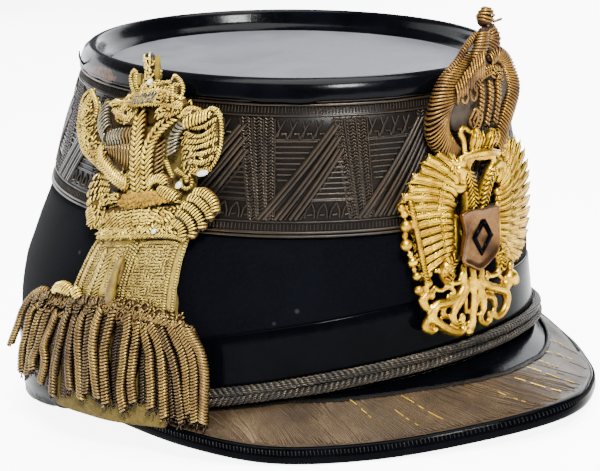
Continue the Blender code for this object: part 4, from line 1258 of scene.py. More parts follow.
    # Snips over the bare parts of the bodies
    snips = chips(body, [(-46, 102), (-41, 107), (-33, 101), (-28, 93), (-20, 86), (-16, 82), (-30, 84),
                         (-43, 92)],
                  1.25, 2.1, math.radians(215), 0.9)
    snips += chips(body, [(-22, 102.6), (-10, 102), (-7, 96), (-12, 94.6), (-21, 97)], 1.0, 1.9)
    snips += chips(body, [(2, 99), (13.4, 99.6), (15, 96), (8, 94.6), (2, 95)], 1.5, 1.9)
    snips += chips(body, [(-14, 103), (-9, 108), (4, 106.4), (5, 101), (5, 98.6), (-13, 99.6)], 1.15, 1.8)
    snips += chips(body, [(-16, 81), (-6, 79), (-4, 73), (-12, 73), (-20, 81)], 1.0, 2.0)
    snips += chips(body, [(21, 95.6), (27.4, 95.6), (28.6, 90), (29, 84), (28, 79), (24, 75), (20, 76),
                          (22.6, 80), (22.8, 88)], 1.9, 1.9, 0.4, 0.8)
    snips += chips(body, [(12.6, 94.2), (16, 97.4), (21, 96), (20, 94.4), (15, 93.6)], 1.0, 1.9, 0.6, 0.4)
    snips += chips(shade, [(13, 91), (17, 91), (21, 84), (20, 76), (14, 77), (14, 86)], 1.5, 1.7, 1.3, 0.6)
    gold = join("badge_wire", [
        rods("plaits", plaits, 0.46, 6), rods("coils", coils, COIL_WIRE, 6),
        rods("edges", edges, EDGE_WIRE, 4), rods("snips", snips, SNIP_WIRE, 4)])
    sew(gold, on_badge, BULLION)
    grey = rods("badge_tarnished_wire", tarnished, COIL_WIRE, 6)
    sew(grey, on_badge, TARNISHED_BULLION)
    # The shaded fist wires and the third row of stitches in the fringe's darker gold: painted shade.
    brown = rods("badge_wire_in_painted_shade", wires_in_shade + third, COIL_WIRE, 6)
    sew(brown, on_badge, FRINGE_GOLD)
    # The necks' padding is dark so that the gaps between the plaits show painted shade.
    sew(necks, on_badge, PAINTED_SHADE_THREAD)
    # The form under the right wing's ribs, in painted shade.
    sew(shade, on_badge, FRINGE_IN_SHADE)
    sew(body, on_badge, BULLION_GROUND, "badge_eagle")
    # Stuff that shows between the wires, most of it painted shade
    for row in BADGE_PATCHES:
        patch(*row)
    dots = blobs("badge_dots", [(-10.6, 98.7, 8.0, 0.8, 0.8, 0.5), (7.0, 106.0, 6.0, 0.6, 0.9, 0.4)], 10, 6)
    place(wrap(dots, on_badge), CORD_BLACK, "dark_cord")
    # The woven post on the crown, with a strip of felt beside it
    core = rods("post_core", [[(-4.9, 105.4, 4.6), (-4.8, 111.5, 4.6), (-3.6, 115.6, 4.6)]], 2.2, 12)
    flat = coordinates(core)
    flat[:, 2] = 4.4 + (flat[:, 2] - 4.4) * 0.6
    move_to(core, flat)
    bpy.context.view_layer.update()
    woven = chips(core, [(-7.4, 105.6), (-2.2, 105.6), (-1.4, 115.8), (-6.0, 115.9)], 1.15, 2.2, 0.9, 1.0,
                  0.25, 0.8)
    wires = rods("post_weave", woven, COIL_WIRE, 6)
    sew(core, on_badge, CORD_BLACK)
    sew(wires, on_badge, BULLION)
    strip = rods("crown_felt_strip", [[(-1.5, 105.4, 4.4), (-1.8, 110.3, 4.4), (-0.4, 114.8, 4.4)]], 1.0, 8)
    place(wrap(strip, on_badge), BRIGHT_FELT, "yellow_felt")


SLEEVE_BANDS = (
    ((22.5, 70.9), (25.4, 70.6), (28.2, 68.8), (30.2, 66.5), (31.0, 63.9)),
    ((20.9, 69.4), (23.5, 68.8), (26.7, 66.3), (28.8, 64.0), (29.4, 62.1)),
    ((19.1, 67.4), (21.7, 66.5), (25.0, 63.7), (26.7, 61.4), (27.0, 59.6)),
    ((18.0, 65.2), (20.0, 64.1), (22.6, 61.7), (24.1, 59.1), (24.0, 57.3)),
    ((17.1, 62.8), (18.8, 61.4), (20.6, 59.1), (21.1, 57.2)))
PUFF_BANDS = (
    ((-24.7, 78.0), (-21.0, 78.5), (-16.5, 78.0)), ((-25.4, 75.5), (-21.8, 76.3), (-15.9, 76.1)),
    ((-24.4, 72.9), (-20.9, 74.1), (-15.1, 73.8)), ((-22.2, 70.3), (-19.7, 72.1), (-15.0, 71.9)))
CHEST_SHIFT = 2.4              # sets the chest back sideways for its depth


def make_badge_middle():
    """The roll under the necks, the chest and the banded sleeves."""
    table = [tuple((u, v, 4.6, 1.3) for u, v in band) for band in SLEEVE_BANDS]
    table += [
        ((-22.3, 76.8, 3.6, 2.0), (-21.6, 73.6, 3.8, 2.4), (-19.8, 70.3, 4.0, 2.2), (-17.0, 67.1, 4.2, 2.2),
         (-14.0, 64.4, 4.4, 2.2)),
        ((-21.3, 69.4, 4.4, 1.3), (-19.4, 66.6, 4.6, 1.5), (-16.9, 63.4, 4.6, 1.6)),
        ((5.0, 74.8, 4.8, 1.7), (7.8, 75.8, 5.0, 1.9), (10.8, 75.0, 5.0, 1.7), (11.8, 72.8, 5.0, 1.4)),
        ((9.7, 73.0, 5.2, 1.6), (13.1, 71.6, 5.4, 1.7), (16.4, 70.0, 5.0, 1.5)),
        ((-8.6, 76.3, 4.4, 1.5), (-5.3, 77.4, 4.4, 1.4)), ((-9.6, 71.6, 4.4, 1.5), (-16.0, 70.6, 4.2, 1.5)),
        ((-11.8, 65.4, 3.8, 2.8), (4.4, 65.6, 4.8, 3.4), (18.0, 63.6, 3.9, 2.8)),
        ((-12.0, 61.2, 3.6, 2.2), (5.4, 61.2, 4.4, 2.8), (20.4, 59.2, 3.8, 2.2))]
    body = join("badge_chest", limbs("badge_limb", table))
    fuse(body, BADGE_VOXEL)

    def over(points, rise=0.3):
        return laid(body, points, rise)
    # Bands of both sleeves, each a padded roll with a black gap beside it
    coils = [wound(over(band, 0.1), 1.08, 1.02, 9) for band in SLEEVE_BANDS]
    coils += [wound(over(band, 0.1), 1.0, 1.02, 9) for band in PUFF_BANDS]
    gaps = []
    for bands in (SLEEVE_BANDS, PUFF_BANDS):
        for first, second in zip(bands, bands[1:]):
            gaps.append(over([((a + c) / 2, (b + d) / 2) for (a, b), (c, d) in zip(first, second)], 0.75))
    coils += [barrel(over([(-21.6, 69.0), (-19.4, 66.6), (-16.9, 63.6)], 0.0), 1.4, 0.95, 9),
              barrel(over([(9.0, 73.4), (13.1, 71.6), (16.8, 69.8)], 0.0), 1.4, 1.0, 9),
              barrel(over([(4.6, 74.2), (6.4, 76.2), (9.4, 76.4), (11.6, 74.6)], 0.1), 1.2, 0.9, 9)]
    # Chest: coils fanned out from its middle, over a corded belt
    for u, v, lean, length in ((-12.4, 65.2, 2.3, 5.0), (-9.4, 66.2, 2.1, 5.4), (-6.0, 66.8, 1.9, 5.4),
                               (-2.6, 67.2, 1.7, 5.4), (1.0, 67.4, 1.5, 5.4), (4.6, 67.2, 1.3, 5.4),
                               (8.0, 66.8, 1.0, 5.4), (11.2, 66.2, 0.8, 5.2), (13.8, 65.0, 0.6, 4.4)):
        u += CHEST_SHIFT
        end = (u - length * math.cos(lean) * 0.7, v - length * math.sin(lean) * 0.8)
        coils.append(wound(over([(u, v), end], 0.0), 1.25, 0.98, 8, 0.6, lean=0.3))
    for u in (-9.0, -4.4, 0.4, 5.2, 10.0, 14.8):
        coils.append(wound(over([(u - 1.8, 60.4 - 0.02 * u), (u, 62.2), (u + 1.8, 60.4)], -0.1), 0.95, 0.98,
                           8, 0.6))
    edges = []
    for points in ([(-13.6, 59.4), (-4.0, 59.6), (6.4, 59.2), (15.0, 58.4), (22.0, 56.6)],
                   [(-13.6, 58.2), (-4.0, 58.5), (6.4, 58.1), (15.0, 57.3), (21.6, 55.8)],
                   [(-13.6, 68.2), (-9.0, 69.2), (-4.0, 68.4), (2.0, 68.2), (10.0, 68.2), (17.0, 67.0)],
                   [(17.1, 75.7), (19.1, 74.6), (19.8, 73.0), (18.5, 71.9), (16.6, 72.4), (15.2, 73.7),
                    (15.7, 75.2), (17.1, 75.7)],
                   [(16.2, 69.0), (18.0, 66.8), (17.4, 63.4), (15.6, 60.0)]):
        edges += edging(over(points, 0.4))
    snips = chips(body, [(-14, 67), (0, 68.6), (17, 67), (21, 58), (4, 58.6), (-13, 59)], 1.25, 2.0)
    snips += chips(body, [(-21, 70), (-13, 70.6), (-12, 63), (-17, 63)], 1.2, 2.0, 1.9, 0.5)
    snips += chips(body, [(-18, 72.4), (-8, 73.4), (-8, 69.6), (-16, 69)], 1.1, 1.9)
    snips += chips(body, [(-9, 78.6), (-4, 79), (-4, 75), (-9, 75)], 1.0, 1.9)
    gold = join("badge_chest_wire", [
        rods("coils", coils, 0.37, 6), rods("edges", edges, EDGE_WIRE, 4),
        rods("snips", snips, SNIP_WIRE, 4)])
    sew(gold, on_badge, BULLION)
    black = rods("badge_sleeve_gaps", gaps, 0.36, 6)
    place(wrap(black, on_badge), CORD_BLACK, "dark_cord")
    sew(body, on_badge, BULLION_GROUND, "badge_scroll")
    roll = join("badge_roll", limbs("roll_limb", (
        ((-4.6, 70.6, 5.6, 2.0), (-1.0, 70.9, 6.2, 2.3), (2.7, 70.6, 6.4, 2.1), (6.2, 70.7, 6.4, 2.3),
         (9.6, 70.3, 6.2, 1.9), (13.0, 69.9, 5.4, 1.4)),)))
    fuse(roll, BADGE_VOXEL)
    nap = chips(roll, [(-6.8, 68.4), (-6.8, 73.2), (4, 73.4), (14, 71.8), (14, 68), (4, 68.2)], 1.25, 1.5,
                None, 1.5, 0.0, 0.9)
    roll = join("badge_roll", [roll, rods("nap", nap, 0.55, 6)])
    place(wrap(roll, on_badge), ROLL_FELT, "yellow_felt")


def make_pearls():
    spots = [(u, v, d, size, size, size) for u, v, d, size in (
        (-2.2, 107.1, 7.6, 1.0), (17.4, 73.8, 7.6, 1.15), (11.1, 60.3, 8.0, 0.9))]
    spots.append((24.9, 76.5, 6.6, 2.2, 1.0, 0.8))
    sew(blobs("badge_pearls", spots), on_badge, PEARL)


# Columns: height at the left, height at the right, left edge, right edge
PANEL_ROWS = np.array(((58.6, 56.4, -13.6, 22.0), (48.0, 45.0, -15.0, 24.0), (40.0, 34.0, -15.6, 25.9)))
PANEL_DEPTH = 3.4


def on_panel(across, down):
    """A spot on the panel, across and down it from 0 to 1."""
    at = down * (len(PANEL_ROWS) - 1)
    row = [float(np.interp(at, np.arange(len(PANEL_ROWS)), PANEL_ROWS[:, k])) for k in range(4)]
    return row[2] + (row[3] - row[2]) * across, row[0] + (row[1] - row[0]) * across


def make_panel():
    """Two stiff woven flaps with corded borders."""
    flap = grid("badge_flaps", 60, 40)
    spots = coordinates(flap)
    places = np.array([on_panel(across, 1.0 - up) for across, up in spots[:, :2]])
    across = spots[:, 0]
    groove = np.exp(-((across - 0.46) / 0.025)**2)
    border = np.minimum.reduce((np.abs(across), np.abs(1 - across)))
    bulge = 0.5 * np.sin(across * math.pi * 2)**2
    depth = PANEL_DEPTH + bulge - 0.9 * groove - 0.5 * np.exp(-(border / 0.02)**2)
    move_to(flap, np.column_stack((places, depth)))
    apply(flap, "SOLIDIFY", thickness=1.1, offset=-1.0)
    bpy.context.view_layer.update()

    def over(points, rise=0.25):
        return laid(flap, [on_panel(*point) for point in points], rise)
    edges = []
    for points in ([(0.015, 0.02), (0.0, 0.5), (0.0, 1.0)], [(0.09, 0.02), (0.085, 0.5), (0.07, 1.0)],
                   [(0.45, 0.0), (0.445, 0.5), (0.42, 1.0)], [(0.49, 0.02), (0.49, 0.5), (0.50, 1.0)],
                   [(0.985, 0.0), (0.985, 0.5), (0.985, 1.0)], [(0.915, 0.06), (0.915, 0.5), (0.92, 1.0)],
                   [(0.53, 0.09), (0.60, 0.04), (0.75, 0.03), (0.88, 0.05), (0.915, 0.10)],
                   [(0.53, 0.09), (0.53, 0.5), (0.54, 1.0)]):
        edges += edging(over(points, 0.3), 0.42, 1.7)
    # A wheat-ear braid down the back flap
    braid = herringbone(flap, [on_panel(0.24, 0.16), on_panel(0.24, 0.5), on_panel(0.22, 0.96)], 4.6, 1.3,
                        0.35)
    # Close, uneven stitches on both flaps
    stitches = []
    for low, high, columns in ((0.10, 0.43, 11), (0.55, 0.90, 12)):
        for column in range(columns):
            for row in range(22):
                here = low + (high - low) * (column + 0.5) / columns
                down = 0.06 + 0.93 * (row + 0.5) / 22
                if low < 0.2 and 0.15 < here < 0.33 and down > 0.12:
                    continue
                turned = math.sin(here * 31.0 + down * 9.0) + math.sin(here * 13.0 - down * 17.0)
                lean = turned * 1.1 + random.uniform(-0.7, 0.7)
                reach = 0.030 * random.uniform(0.7, 1.2)
                ends = [(here - reach * math.cos(lean), down - reach * 0.9 * math.sin(lean)),
                        (here + reach * math.cos(lean), down + reach * 0.9 * math.sin(lean))]
                stitches.append(laid(flap, [on_panel(*end) for end in ends], 0.1, step=1.0))
    gold = join("badge_flap_wire", [
        rods("edges", edges, EDGE_WIRE, 4), rods("braid", braid, COIL_WIRE, 6),
        rods("stitches", stitches, COIL_WIRE, 4)])
    sew(gold, on_badge, FLAP_GOLD)
    sew(flap, on_badge, FLAP_GOLD, "badge_panel")


def make_loop():
    """A small leather loop that hangs over the flaps."""
    loop = rods("leather_loop", [smooth_path([
        (1.6, 44.0, 3.8, 0.8), (1.4, 48.6, 4.2, 1.0), (1.0, 51.4, 5.4, 1.1), (1.2, 52.0, 6.4, 1.2),
        (1.4, 49.6, 7.2, 1.3), (1.6, 45.4, 7.0, 1.6), (1.9, 41.8, 6.4, 1.9), (2.1, 39.8, 5.8, 1.8),
        (2.2, 39.0, 5.2, 1.2)], 0.7)], 1.0, 10)
    flat = coordinates(loop)
    middle = np.interp(flat[:, 1], (39.0, 45.0, 52.0), (2.1, 1.6, 1.2))
    flat[:, 0] = middle + 1.5 + (flat[:, 0] - middle) * 0.85
    move_to(loop, flat)
    return place(wrap(loop, on_badge), LOOP_LEATHER, "yellow_leather", "badge_loop")


# Strands of the fringe in front, each from its head to its foot as five spots (u, v)
FRINGE = (
    (-31.1, 38.0, -33.4, 35.2, -34.5, 27.8, -37.6, 19.9, -38.7, 14.4),
    (-26.6, 37.2, -28.6, 32.5, -29.8, 27.0, -30.7, 21.7, -34.2, 13.8),
    (-22.6, 36.6, -23.7, 31.3, -25.3, 24.7, -28.9, 19.9, -29.2, 16.2),
    (-18.3, 36.0, -20.0, 30.8, -22.2, 24.9, -21.8, 19.3, -25.1, 12.3),
    (-12.2, 37.1, -13.6, 32.4, -14.6, 24.5, -17.6, 16.2, -19.1, 8.2),
    (-9.1, 35.1, -9.4, 28.8, -9.4, 23.5, -10.1, 18.0, -10.1, 10.6),
    (-5.3, 36.8, -6.3, 30.7, -5.2, 22.5, -5.5, 14.4, -5.6, 7.8),
    (-2.6, 37.1, -2.1, 30.6, -1.8, 23.6, -2.5, 16.3, -3.6, 9.4),
    (1.2, 37.3, 0.5, 31.0, 0.8, 23.2, 1.0, 16.0, 1.6, 8.0),
    (6.5, 36.5, 6.0, 30.8, 5.5, 23.5, 4.8, 15.2, 4.6, 5.4),
    (12.0, 34.9, 13.0, 29.2, 12.4, 20.8, 10.3, 10.8, 10.9, 3.6),
    (15.8, 31.6, 16.5, 25.5, 15.8, 20.6, 14.5, 13.6, 14.6, 6.4),
    (18.3, 29.3, 21.0, 23.1, 20.9, 16.8, 20.8, 10.4, 20.2, 4.0),
    (19.9, 31.3, 24.3, 24.3, 24.8, 16.5, 24.4, 8.4, 24.1, 0.2),
    (23.7, 29.6, 27.6, 22.6, 29.1, 14.8, 29.5, 7.0, 29.8, -0.9),
    (26.8, 30.1, 31.1, 23.0, 32.3, 15.9, 32.0, 8.2, 32.1, 1.1),
    (29.6, 29.8, 33.8, 23.1, 34.9, 15.7, 34.2, 7.3, 33.7, -1.2),
    (32.2, 28.5, 36.7, 22.1, 37.8, 14.6, 37.1, 6.3, 35.9, -2.1))
FRINGE_DEPTHS = (6.0, 7.0, 7.4, 7.7, 8.0)      # from head to foot, over the felt


def make_fringe():
    """Strands of wound wire, golden and brown, with darker ones behind in painted shade, frayed at their
    feet.
    """
    golden = []
    brown = []
    back = []
    frayed = []
    for k, strand in enumerate(FRINGE):
        spots = np.array(strand).reshape(5, 2)
        depths = np.array(FRINGE_DEPTHS) + random.uniform(-0.5, 0.5)
        keys = [(spots[0, 0] + 1.0, spots[0, 1] - 1.4, 4.4)]
        keys += [(u, v, d) for (u, v), d in zip(spots, depths)]
        foot_u, foot_v, foot_d = keys[-1]
        pitch = random.uniform(0.98, 1.10)
        lean = random.choice((-0.5, 0.45, 0.5))
        made = wound(keys, random.uniform(1.0, 1.2), pitch, 9, phase=random.uniform(0, 6), lean=lean)
        (brown if random.random() < 0.38 else golden).append(made)
        for _ in range(9):
            u = foot_u + random.uniform(-1.2, 1.2)
            v = foot_v + random.uniform(-1.0, 1.0)
            d = foot_d + random.uniform(-1.2, 0.5)
            frayed.append([(u, v, d), (u + random.uniform(-1.4, 1.4), v - random.uniform(0.6, 2.4),
                                       d + random.uniform(-0.8, 0.6))])
        if k == 0:
            continue
        between = (np.array(FRINGE[k - 1]) + np.array(strand)).reshape(5, 2) / 2
        for shift in (-0.9, 0.9):
            drop = random.uniform(-2.2, 0.8)
            keys = [(u + shift + random.uniform(-0.4, 0.4), v + drop * share, d - 2.0)
                    for (u, v), d, share in zip(between, FRINGE_DEPTHS, (0.0, 0.2, 0.5, 0.8, 1.0))]
            back.append(wound(keys, 1.05, pitch, 8, phase=random.uniform(0, 6), lean=lean))
    # A strand that strays round the back and the curled heads on top of the row
    golden.append(wound([(-27.4, 42.0, 5.2), (-30.7, 42.8, 6.0), (-34.1, 41.0, 7.0), (-38.1, 36.8, 7.4),
                         (-41.4, 30.2, 7.7), (-46.0, 23.3, 8.0)], 1.1, 1.06, 9, lean=0.45))
    for u, v, size in ((-29.0, 41.2, 2.6), (-24.4, 41.6, 2.6), (-9.4, 40.6, 2.4), (-5.0, 40.2, 2.4),
                       (-0.6, 39.8, 2.4)):
        brown.append(wound([(u + size, v - 1.4, 4.4), (u, v, 6.4), (u - size, v - 0.8, 6.8),
                            (u - size - 1.0, v - 3.8, 6.6)],
                           0.95, 1.04, 9, phase=random.uniform(0, 6), lean=0.4))
    for k in range(15):
        u = 4.0 + 1.7 * k
        v = 38.6 - 0.36 * (u - 3.0)
        golden.append(wound([(u - 1.6, v + 0.8, 4.4), (u, v + 0.6, 5.8), (u + 1.8, v - 1.0, 5.2)], 0.8,
                            0.95, 8, phase=random.uniform(0, 6)))
    sew(rods("fringe_strands", golden, 0.47, 6), on_badge, FRINGE_GOLD, "badge_fringe")
    sew(rods("fringe_brown_strands", brown, 0.47, 6), on_badge, FRINGE_BROWN)
    # Strands behind the front row, in painted shade.
    sew(rods("fringe_behind", back, 0.44, 6), on_badge, FRINGE_IN_SHADE)
    # Frayed ends at the strands' feet, dark as worn threads and darker still as painted shade.
    sew(rods("fringe_frayed", frayed, 0.24, 4), on_badge, FRINGE_IN_SHADE)
    core = join("fringe_head", limbs("head_limb", (
        ((-32.0, 39.4, 3.4, 1.6), (-20.0, 39.4, 4.0, 2.0), (0.0, 38.4, 4.2, 2.2), (14.0, 35.4, 4.2, 2.6),
         (27.0, 30.6, 3.4, 2.0)), ((4.0, 36.0, 4.0, 2.0), (14.0, 32.0, 4.4, 2.2), (23.0, 28.4, 4.6, 1.8)))))
    fuse(core, BADGE_VOXEL)
    snips = chips(core, [(-34, 42), (-14, 42), (2, 41), (16, 38), (29, 33), (29, 27), (12, 30), (-10, 35),
                         (-34, 36)],
                  1.0, 1.9)
    sew(rods("fringe_head_snips", snips, 0.40, 4), on_badge, FRINGE_GOLD)
    # The fringe's padded head in dark thread: painted shade between the snips.
    sew(core, on_badge, PAINTED_SHADE_THREAD)
    # The pale knob on the fringe's head
    knob = [wound([(-21.6, 43.4, 6.6, 0.9), (-19.4, 44.6, 7.2, 1.5), (-16.0, 44.2, 7.2, 1.5),
                   (-13.4, 42.6, 6.4, 1.0)],
                  1.0, 0.9, 9),
            wound([(-12.8, 43.4, 6.2, 0.9), (-11.0, 42.6, 6.6, 1.2), (-9.6, 40.6, 6.4, 1.0)], 1.0, 0.9, 9)]
    sew(rods("fringe_knob", knob, 0.45, 6), on_badge, BULLION)


# ---------------------------------------------------------------- lace band
LACE_DOWN = ((-0.13, 0.06), (0.0, 0.145), (0.13, 0.22))       # the knitted bars: share at top and bottom
LACE_UP = ((0.133, 0.85, 0.82), (0.298, 0.875, 0.73), (0.444, 0.905, 0.64))   # ridges: foot, top, height
LACE_FIELD = (0.135, 0.865)


def lace_spot(share, height, rise):
    return share * LACE_PERIOD, height * LACE_HIGH, rise


def lace_line(heights, rise, start, end, step=1.2):
    """A line along the whole band at one height."""
    count = int(LACE_PERIODS * LACE_PERIOD / step)
    x = np.linspace(start, end, count)
    return [np.stack((x, np.full(count, height), np.full(count, rise)), axis=1) for height in heights]


def stitched_bar(start, end, width, pitch, rise):
    """A knitted bar: three columns of short slanting stitches."""
    path = smooth_path([(*start, rise), (*end, rise)], pitch)
    made = []
    for x, y, d in path:
        for column, lean in ((-1, 0.35), (0, -0.35), (1, 0.35)):
            middle = x + column * width * 0.31
            jog = random.uniform(-0.06, 0.06)
            made.append([(middle - width * 0.13, y + lean + jog, d - 0.25), (middle, y + jog, d + 0.12),
                         (middle + width * 0.13, y - lean + jog, d - 0.25)])
    return made


def make_lace():
    """Woven metal lace in a running zigzag, sewn in rods on its ground."""
    around = LACE_PERIODS * LACE_PERIOD
    edges = lace_line((0.55, 1.75, 43.3, 44.5), 0.15, 0.0, around)
    lines = lace_line((5.2, 39.7), 0.12, 0.0, around)
    ribs = []
    count = int(around / 1.12)
    for k in range(count):
        x = around * k / count
        ribs.append([(x, 2.4, 0.0), (x, 4.5, 0.0)])
        ribs.append([(x, 40.5, 0.0), (x, 42.6, 0.0)])
    knit = []
    ridges = []
    rungs = []
    motifs = []
    low, high = LACE_FIELD
    for period in range(LACE_PERIODS):
        def at(share, height, rise=0.0, shift=period):
            return lace_spot(share + shift, height, rise)

        for top, foot in LACE_DOWN:
            knit += stitched_bar(at(top, high)[:2], at(foot, low)[:2], 3.3, 1.05, 0.18)
            for side in (-0.062, 0.062):
                knit.append([at(top + side, high, 0.12), at(foot + side * 0.8, low, 0.12)])
        for foot, top, top_height in LACE_UP:
            middle = (foot + top) / 2
            for offset in (-0.026, 0.026):
                ridges.append(smooth_path([at(foot + offset, low, 0.0),
                                           at(middle + offset, (low + top_height) / 2, 0.35),
                                           at(top + offset, top_height, 0.0)], 1.5))
            rungs.append([at(foot + 0.075, low, 0.05), at(top + 0.05, top_height - 0.05, 0.05)])
        for k in range(8):
            t = k / 7
            height = 0.70 - 0.28 * t
            rungs.append([at(0.20 + 0.07 * t, height, 0.1), at(0.66 - 0.29 * t, height, 0.1)])
            height = 0.55 - 0.27 * t
            rungs.append([at(0.80 - 0.19 * t, height, 0.1), at(0.94 + 0.10 * t, height, 0.1)])
        for k in range(4):
            share = 0.20 + 0.135 * k
            motifs += [[at(share, 0.72, 0.1), at(share + 0.06, 0.80, 0.2), at(share + 0.10, 0.855, 0.1)],
                       [at(share + 0.02, 0.855, 0.1), at(share + 0.05, 0.79, 0.15),
                        at(share + 0.03, 0.735, 0.1)],
                       [at(share + 0.075, 0.755, 0.1), at(share + 0.12, 0.76, 0.15),
                        at(share + 0.135, 0.72, 0.1)]]
            share = 0.56 + 0.125 * k
            motifs += [[at(share, 0.145, 0.1), at(share + 0.02, 0.21, 0.2), at(share + 0.07, 0.255, 0.1)],
                       [at(share + 0.07, 0.255, 0.1), at(share + 0.10, 0.20, 0.2),
                        at(share + 0.10, 0.145, 0.1)],
                       [at(share + 0.03, 0.165, 0.1), at(share + 0.08, 0.17, 0.15)]]
        motifs += [[at(0.17, 0.712, 0.1), at(0.74, 0.712, 0.1)],
                   [at(0.56, 0.268, 0.1), at(1.04, 0.268, 0.1)]]
    relief = join("lace_relief", [
        rods("edges", edges, 0.52, 6, caps=False), rods("lines", lines, 0.34, 4, caps=False),
        rods("ribs", ribs, 0.30, 4, caps=False), rods("ridges", ridges, 0.80, 6, caps=False),
        rods("rungs", rungs, 0.42, 4, caps=False), rods("motifs", motifs, 0.40, 4, caps=False)])
    place(wrap(relief, on_lace), TARNISHED, "tarnished_lace")
    knitted = rods("lace_knit", knit, 0.33, 4, caps=False)
    place(wrap(knitted, on_lace), TARNISHED, "tarnished_lace")


# ---------------------------------------------------------------- chin cord and buttons
CORD_HEIGHTS = (2.9, 5.9)
CORD_SPAN = math.radians(73.0)
CORD_RADIUS = 95.0             # turns millimetres along the cord into an angle
BUTTON_ANGLE = math.radians(75.5)
BUTTON_HEIGHT = 7.4


def on_band(points):
    x, y, d = points.T
    return on_wall(-x / CORD_RADIUS, y, d)


def make_cords():
    """Two laid strands of three plies, each ply covered with fine metal threads."""
    end = CORD_SPAN * CORD_RADIUS
    for name, height, hand, cord in (("lower", CORD_HEIGHTS[0], 1.0, "chin_cord_lower"),
                                     ("upper", CORD_HEIGHTS[1], -1.0, "chin_cord_upper")):
        keys = [(-end, height + 3.0, 1.5), (-end + 8, height + 0.9, 1.6), (-end + 18, height, 1.6)]
        keys += [(x, height + random.uniform(-0.12, 0.12), 1.6) for x in range(-90, 91, 15)]
        keys += [(end - 18, height, 1.6), (end - 8, height + 0.9, 1.6), (end, height + 3.0, 1.5)]
        plies = twisted(keys, 0.80, 5.6, 3, 14, hand)
        place(wrap(rods("cord_" + name, plies, 0.72, 8), on_band), CORD_BLACK, "dark_cord", cord)
        strands = []
        for ply in plies:
            strands += twisted([tuple(spot) for spot in ply[::2]], 0.70, 8.0, 6, 14, -hand)
        fine = rods("cord_threads_" + name, strands, 0.15, 4, caps=False)
        place(wrap(fine, on_band), CORD_THREAD, "dark_cord")


def make_buttons():
    """The domed buttons that hold the ends of the chin cord."""
    for name, side in (("cord_button_right", -1.0), ("cord_button_left", 1.0)):
        x = side * BUTTON_ANGLE * CORD_RADIUS
        bpy.ops.object.select_all(action="DESELECT")
        bpy.ops.mesh.primitive_uv_sphere_add(segments=32, ring_count=16, radius=1.0)
        dome = bpy.context.object
        spots = coordinates(dome)
        move_to(dome, spots * (3.7, 3.7, 1.9) + (x, BUTTON_HEIGHT, 1.3))
        bpy.ops.object.select_all(action="DESELECT")
        bpy.ops.mesh.primitive_torus_add(major_radius=3.75, minor_radius=0.55, major_segments=32,
                                         minor_segments=8)
        rim = bpy.context.object
        move_to(rim, coordinates(rim) + (x, BUTTON_HEIGHT, 1.1))
        place(wrap(join(name + "_dome", [dome, rim]), on_band), GILT, "gilt_metal", name)


# ---------------------------------------------------------------- lace and stitching on the peak
def peak_route(points):
    """A route over the peak's lace, from (degrees, part across, rise) to hat millimetres."""
    return on_peak_lace(np.asarray(points, float))


def make_peak_trim():
    """Metal threads left on the ribbon, the loose bright ones and its stitched borders."""
    threads = []
    loose = []
    x = -71.0
    while x < 26.0:
        keep = 0.97 if x < -14.0 else max(0.04, 0.7 - (x + 14.0) / 30.0)
        lean = 6.5 + 1.2 * math.sin(x * 0.4)
        if random.random() < keep:
            start = random.uniform(0.02, 0.10) if random.random() < 0.85 else random.uniform(0.2, 0.6)
            end = random.uniform(0.9, 0.98) if random.random() < 0.75 else random.uniform(0.5, 0.85)
            across = np.linspace(start, end, 8)
            route = np.stack((x + lean * across + 0.15 * np.sin(across * 9 + x), across,
                              np.full(8, 1.06)), axis=1)
            threads.append(peak_route(route))
        x += random.uniform(0.17, 0.32)
    for x, start, end, lean in ((4.0, 0.1, 0.9, 5.0), (15.0, 0.05, 0.8, 8.0), (23.5, 0.02, 0.55, 6.0),
                                (-2.0, 0.2, 0.95, 6.0), (-8.0, 0.4, 0.97, 5.0), (9.0, 0.1, 0.5, 5.0),
                                (-22.0, 0.1, 0.9, 6.5), (-26.0, 0.4, 0.95, 6.0), (-31.0, 0.05, 0.6, 6.0)):
        across = np.linspace(start, end, 12)
        whole = np.stack((x + lean * across, across, 1.25 + 0.2 * np.sin(across * 8)), axis=1)
        first = 0
        while first < 9:
            last = first + random.choice((2, 3, 4))
            if len(whole[first:last]) > 1:
                loose.append(peak_route(whole[first:last]))
            first = last + random.choice((0, 0, 1))
    thin = rods("peak_threads", threads, 0.12, 4, caps=False)
    place(wrap(thin, on_hat), PEAK_THREAD, "peak_lace")
    bright = rods("peak_loose_threads", loose, 0.17, 4, caps=False)
    place(wrap(bright, on_hat), BRIGHT_THREAD, "peak_lace")
    borders = []
    for x in np.arange(-71.5, 71.5, 0.42):
        jog = random.uniform(-0.01, 0.01)
        borders.append(peak_route([(x - 0.3, -0.05 + jog, 0.75), (x, -0.01 + jog, 1.25),
                                   (x + 0.35, 0.045 + jog, 1.05)]))
    for x in np.arange(34.0, 71.5, 0.5):
        borders.append(peak_route([(x - 0.3, 0.955, 1.0), (x, 0.985, 1.3), (x + 0.3, 1.01, 0.95)]))
    dark = rods("peak_border", borders, 0.36, 4, caps=False)
    place(wrap(dark, on_hat), CORD_BLACK, "dark_cord")


def on_binding(points):
    """x in degrees, y across the binding from its middle, z from 0 to 1 up it."""
    degrees, across, up = -points[:, 0], points[:, 1], points[:, 2]
    reach, drop = peak_edge(degrees)
    return on_peak(degrees, reach - BINDING_WIDE / 2 + across, -drop + binding_height(drop) * up)


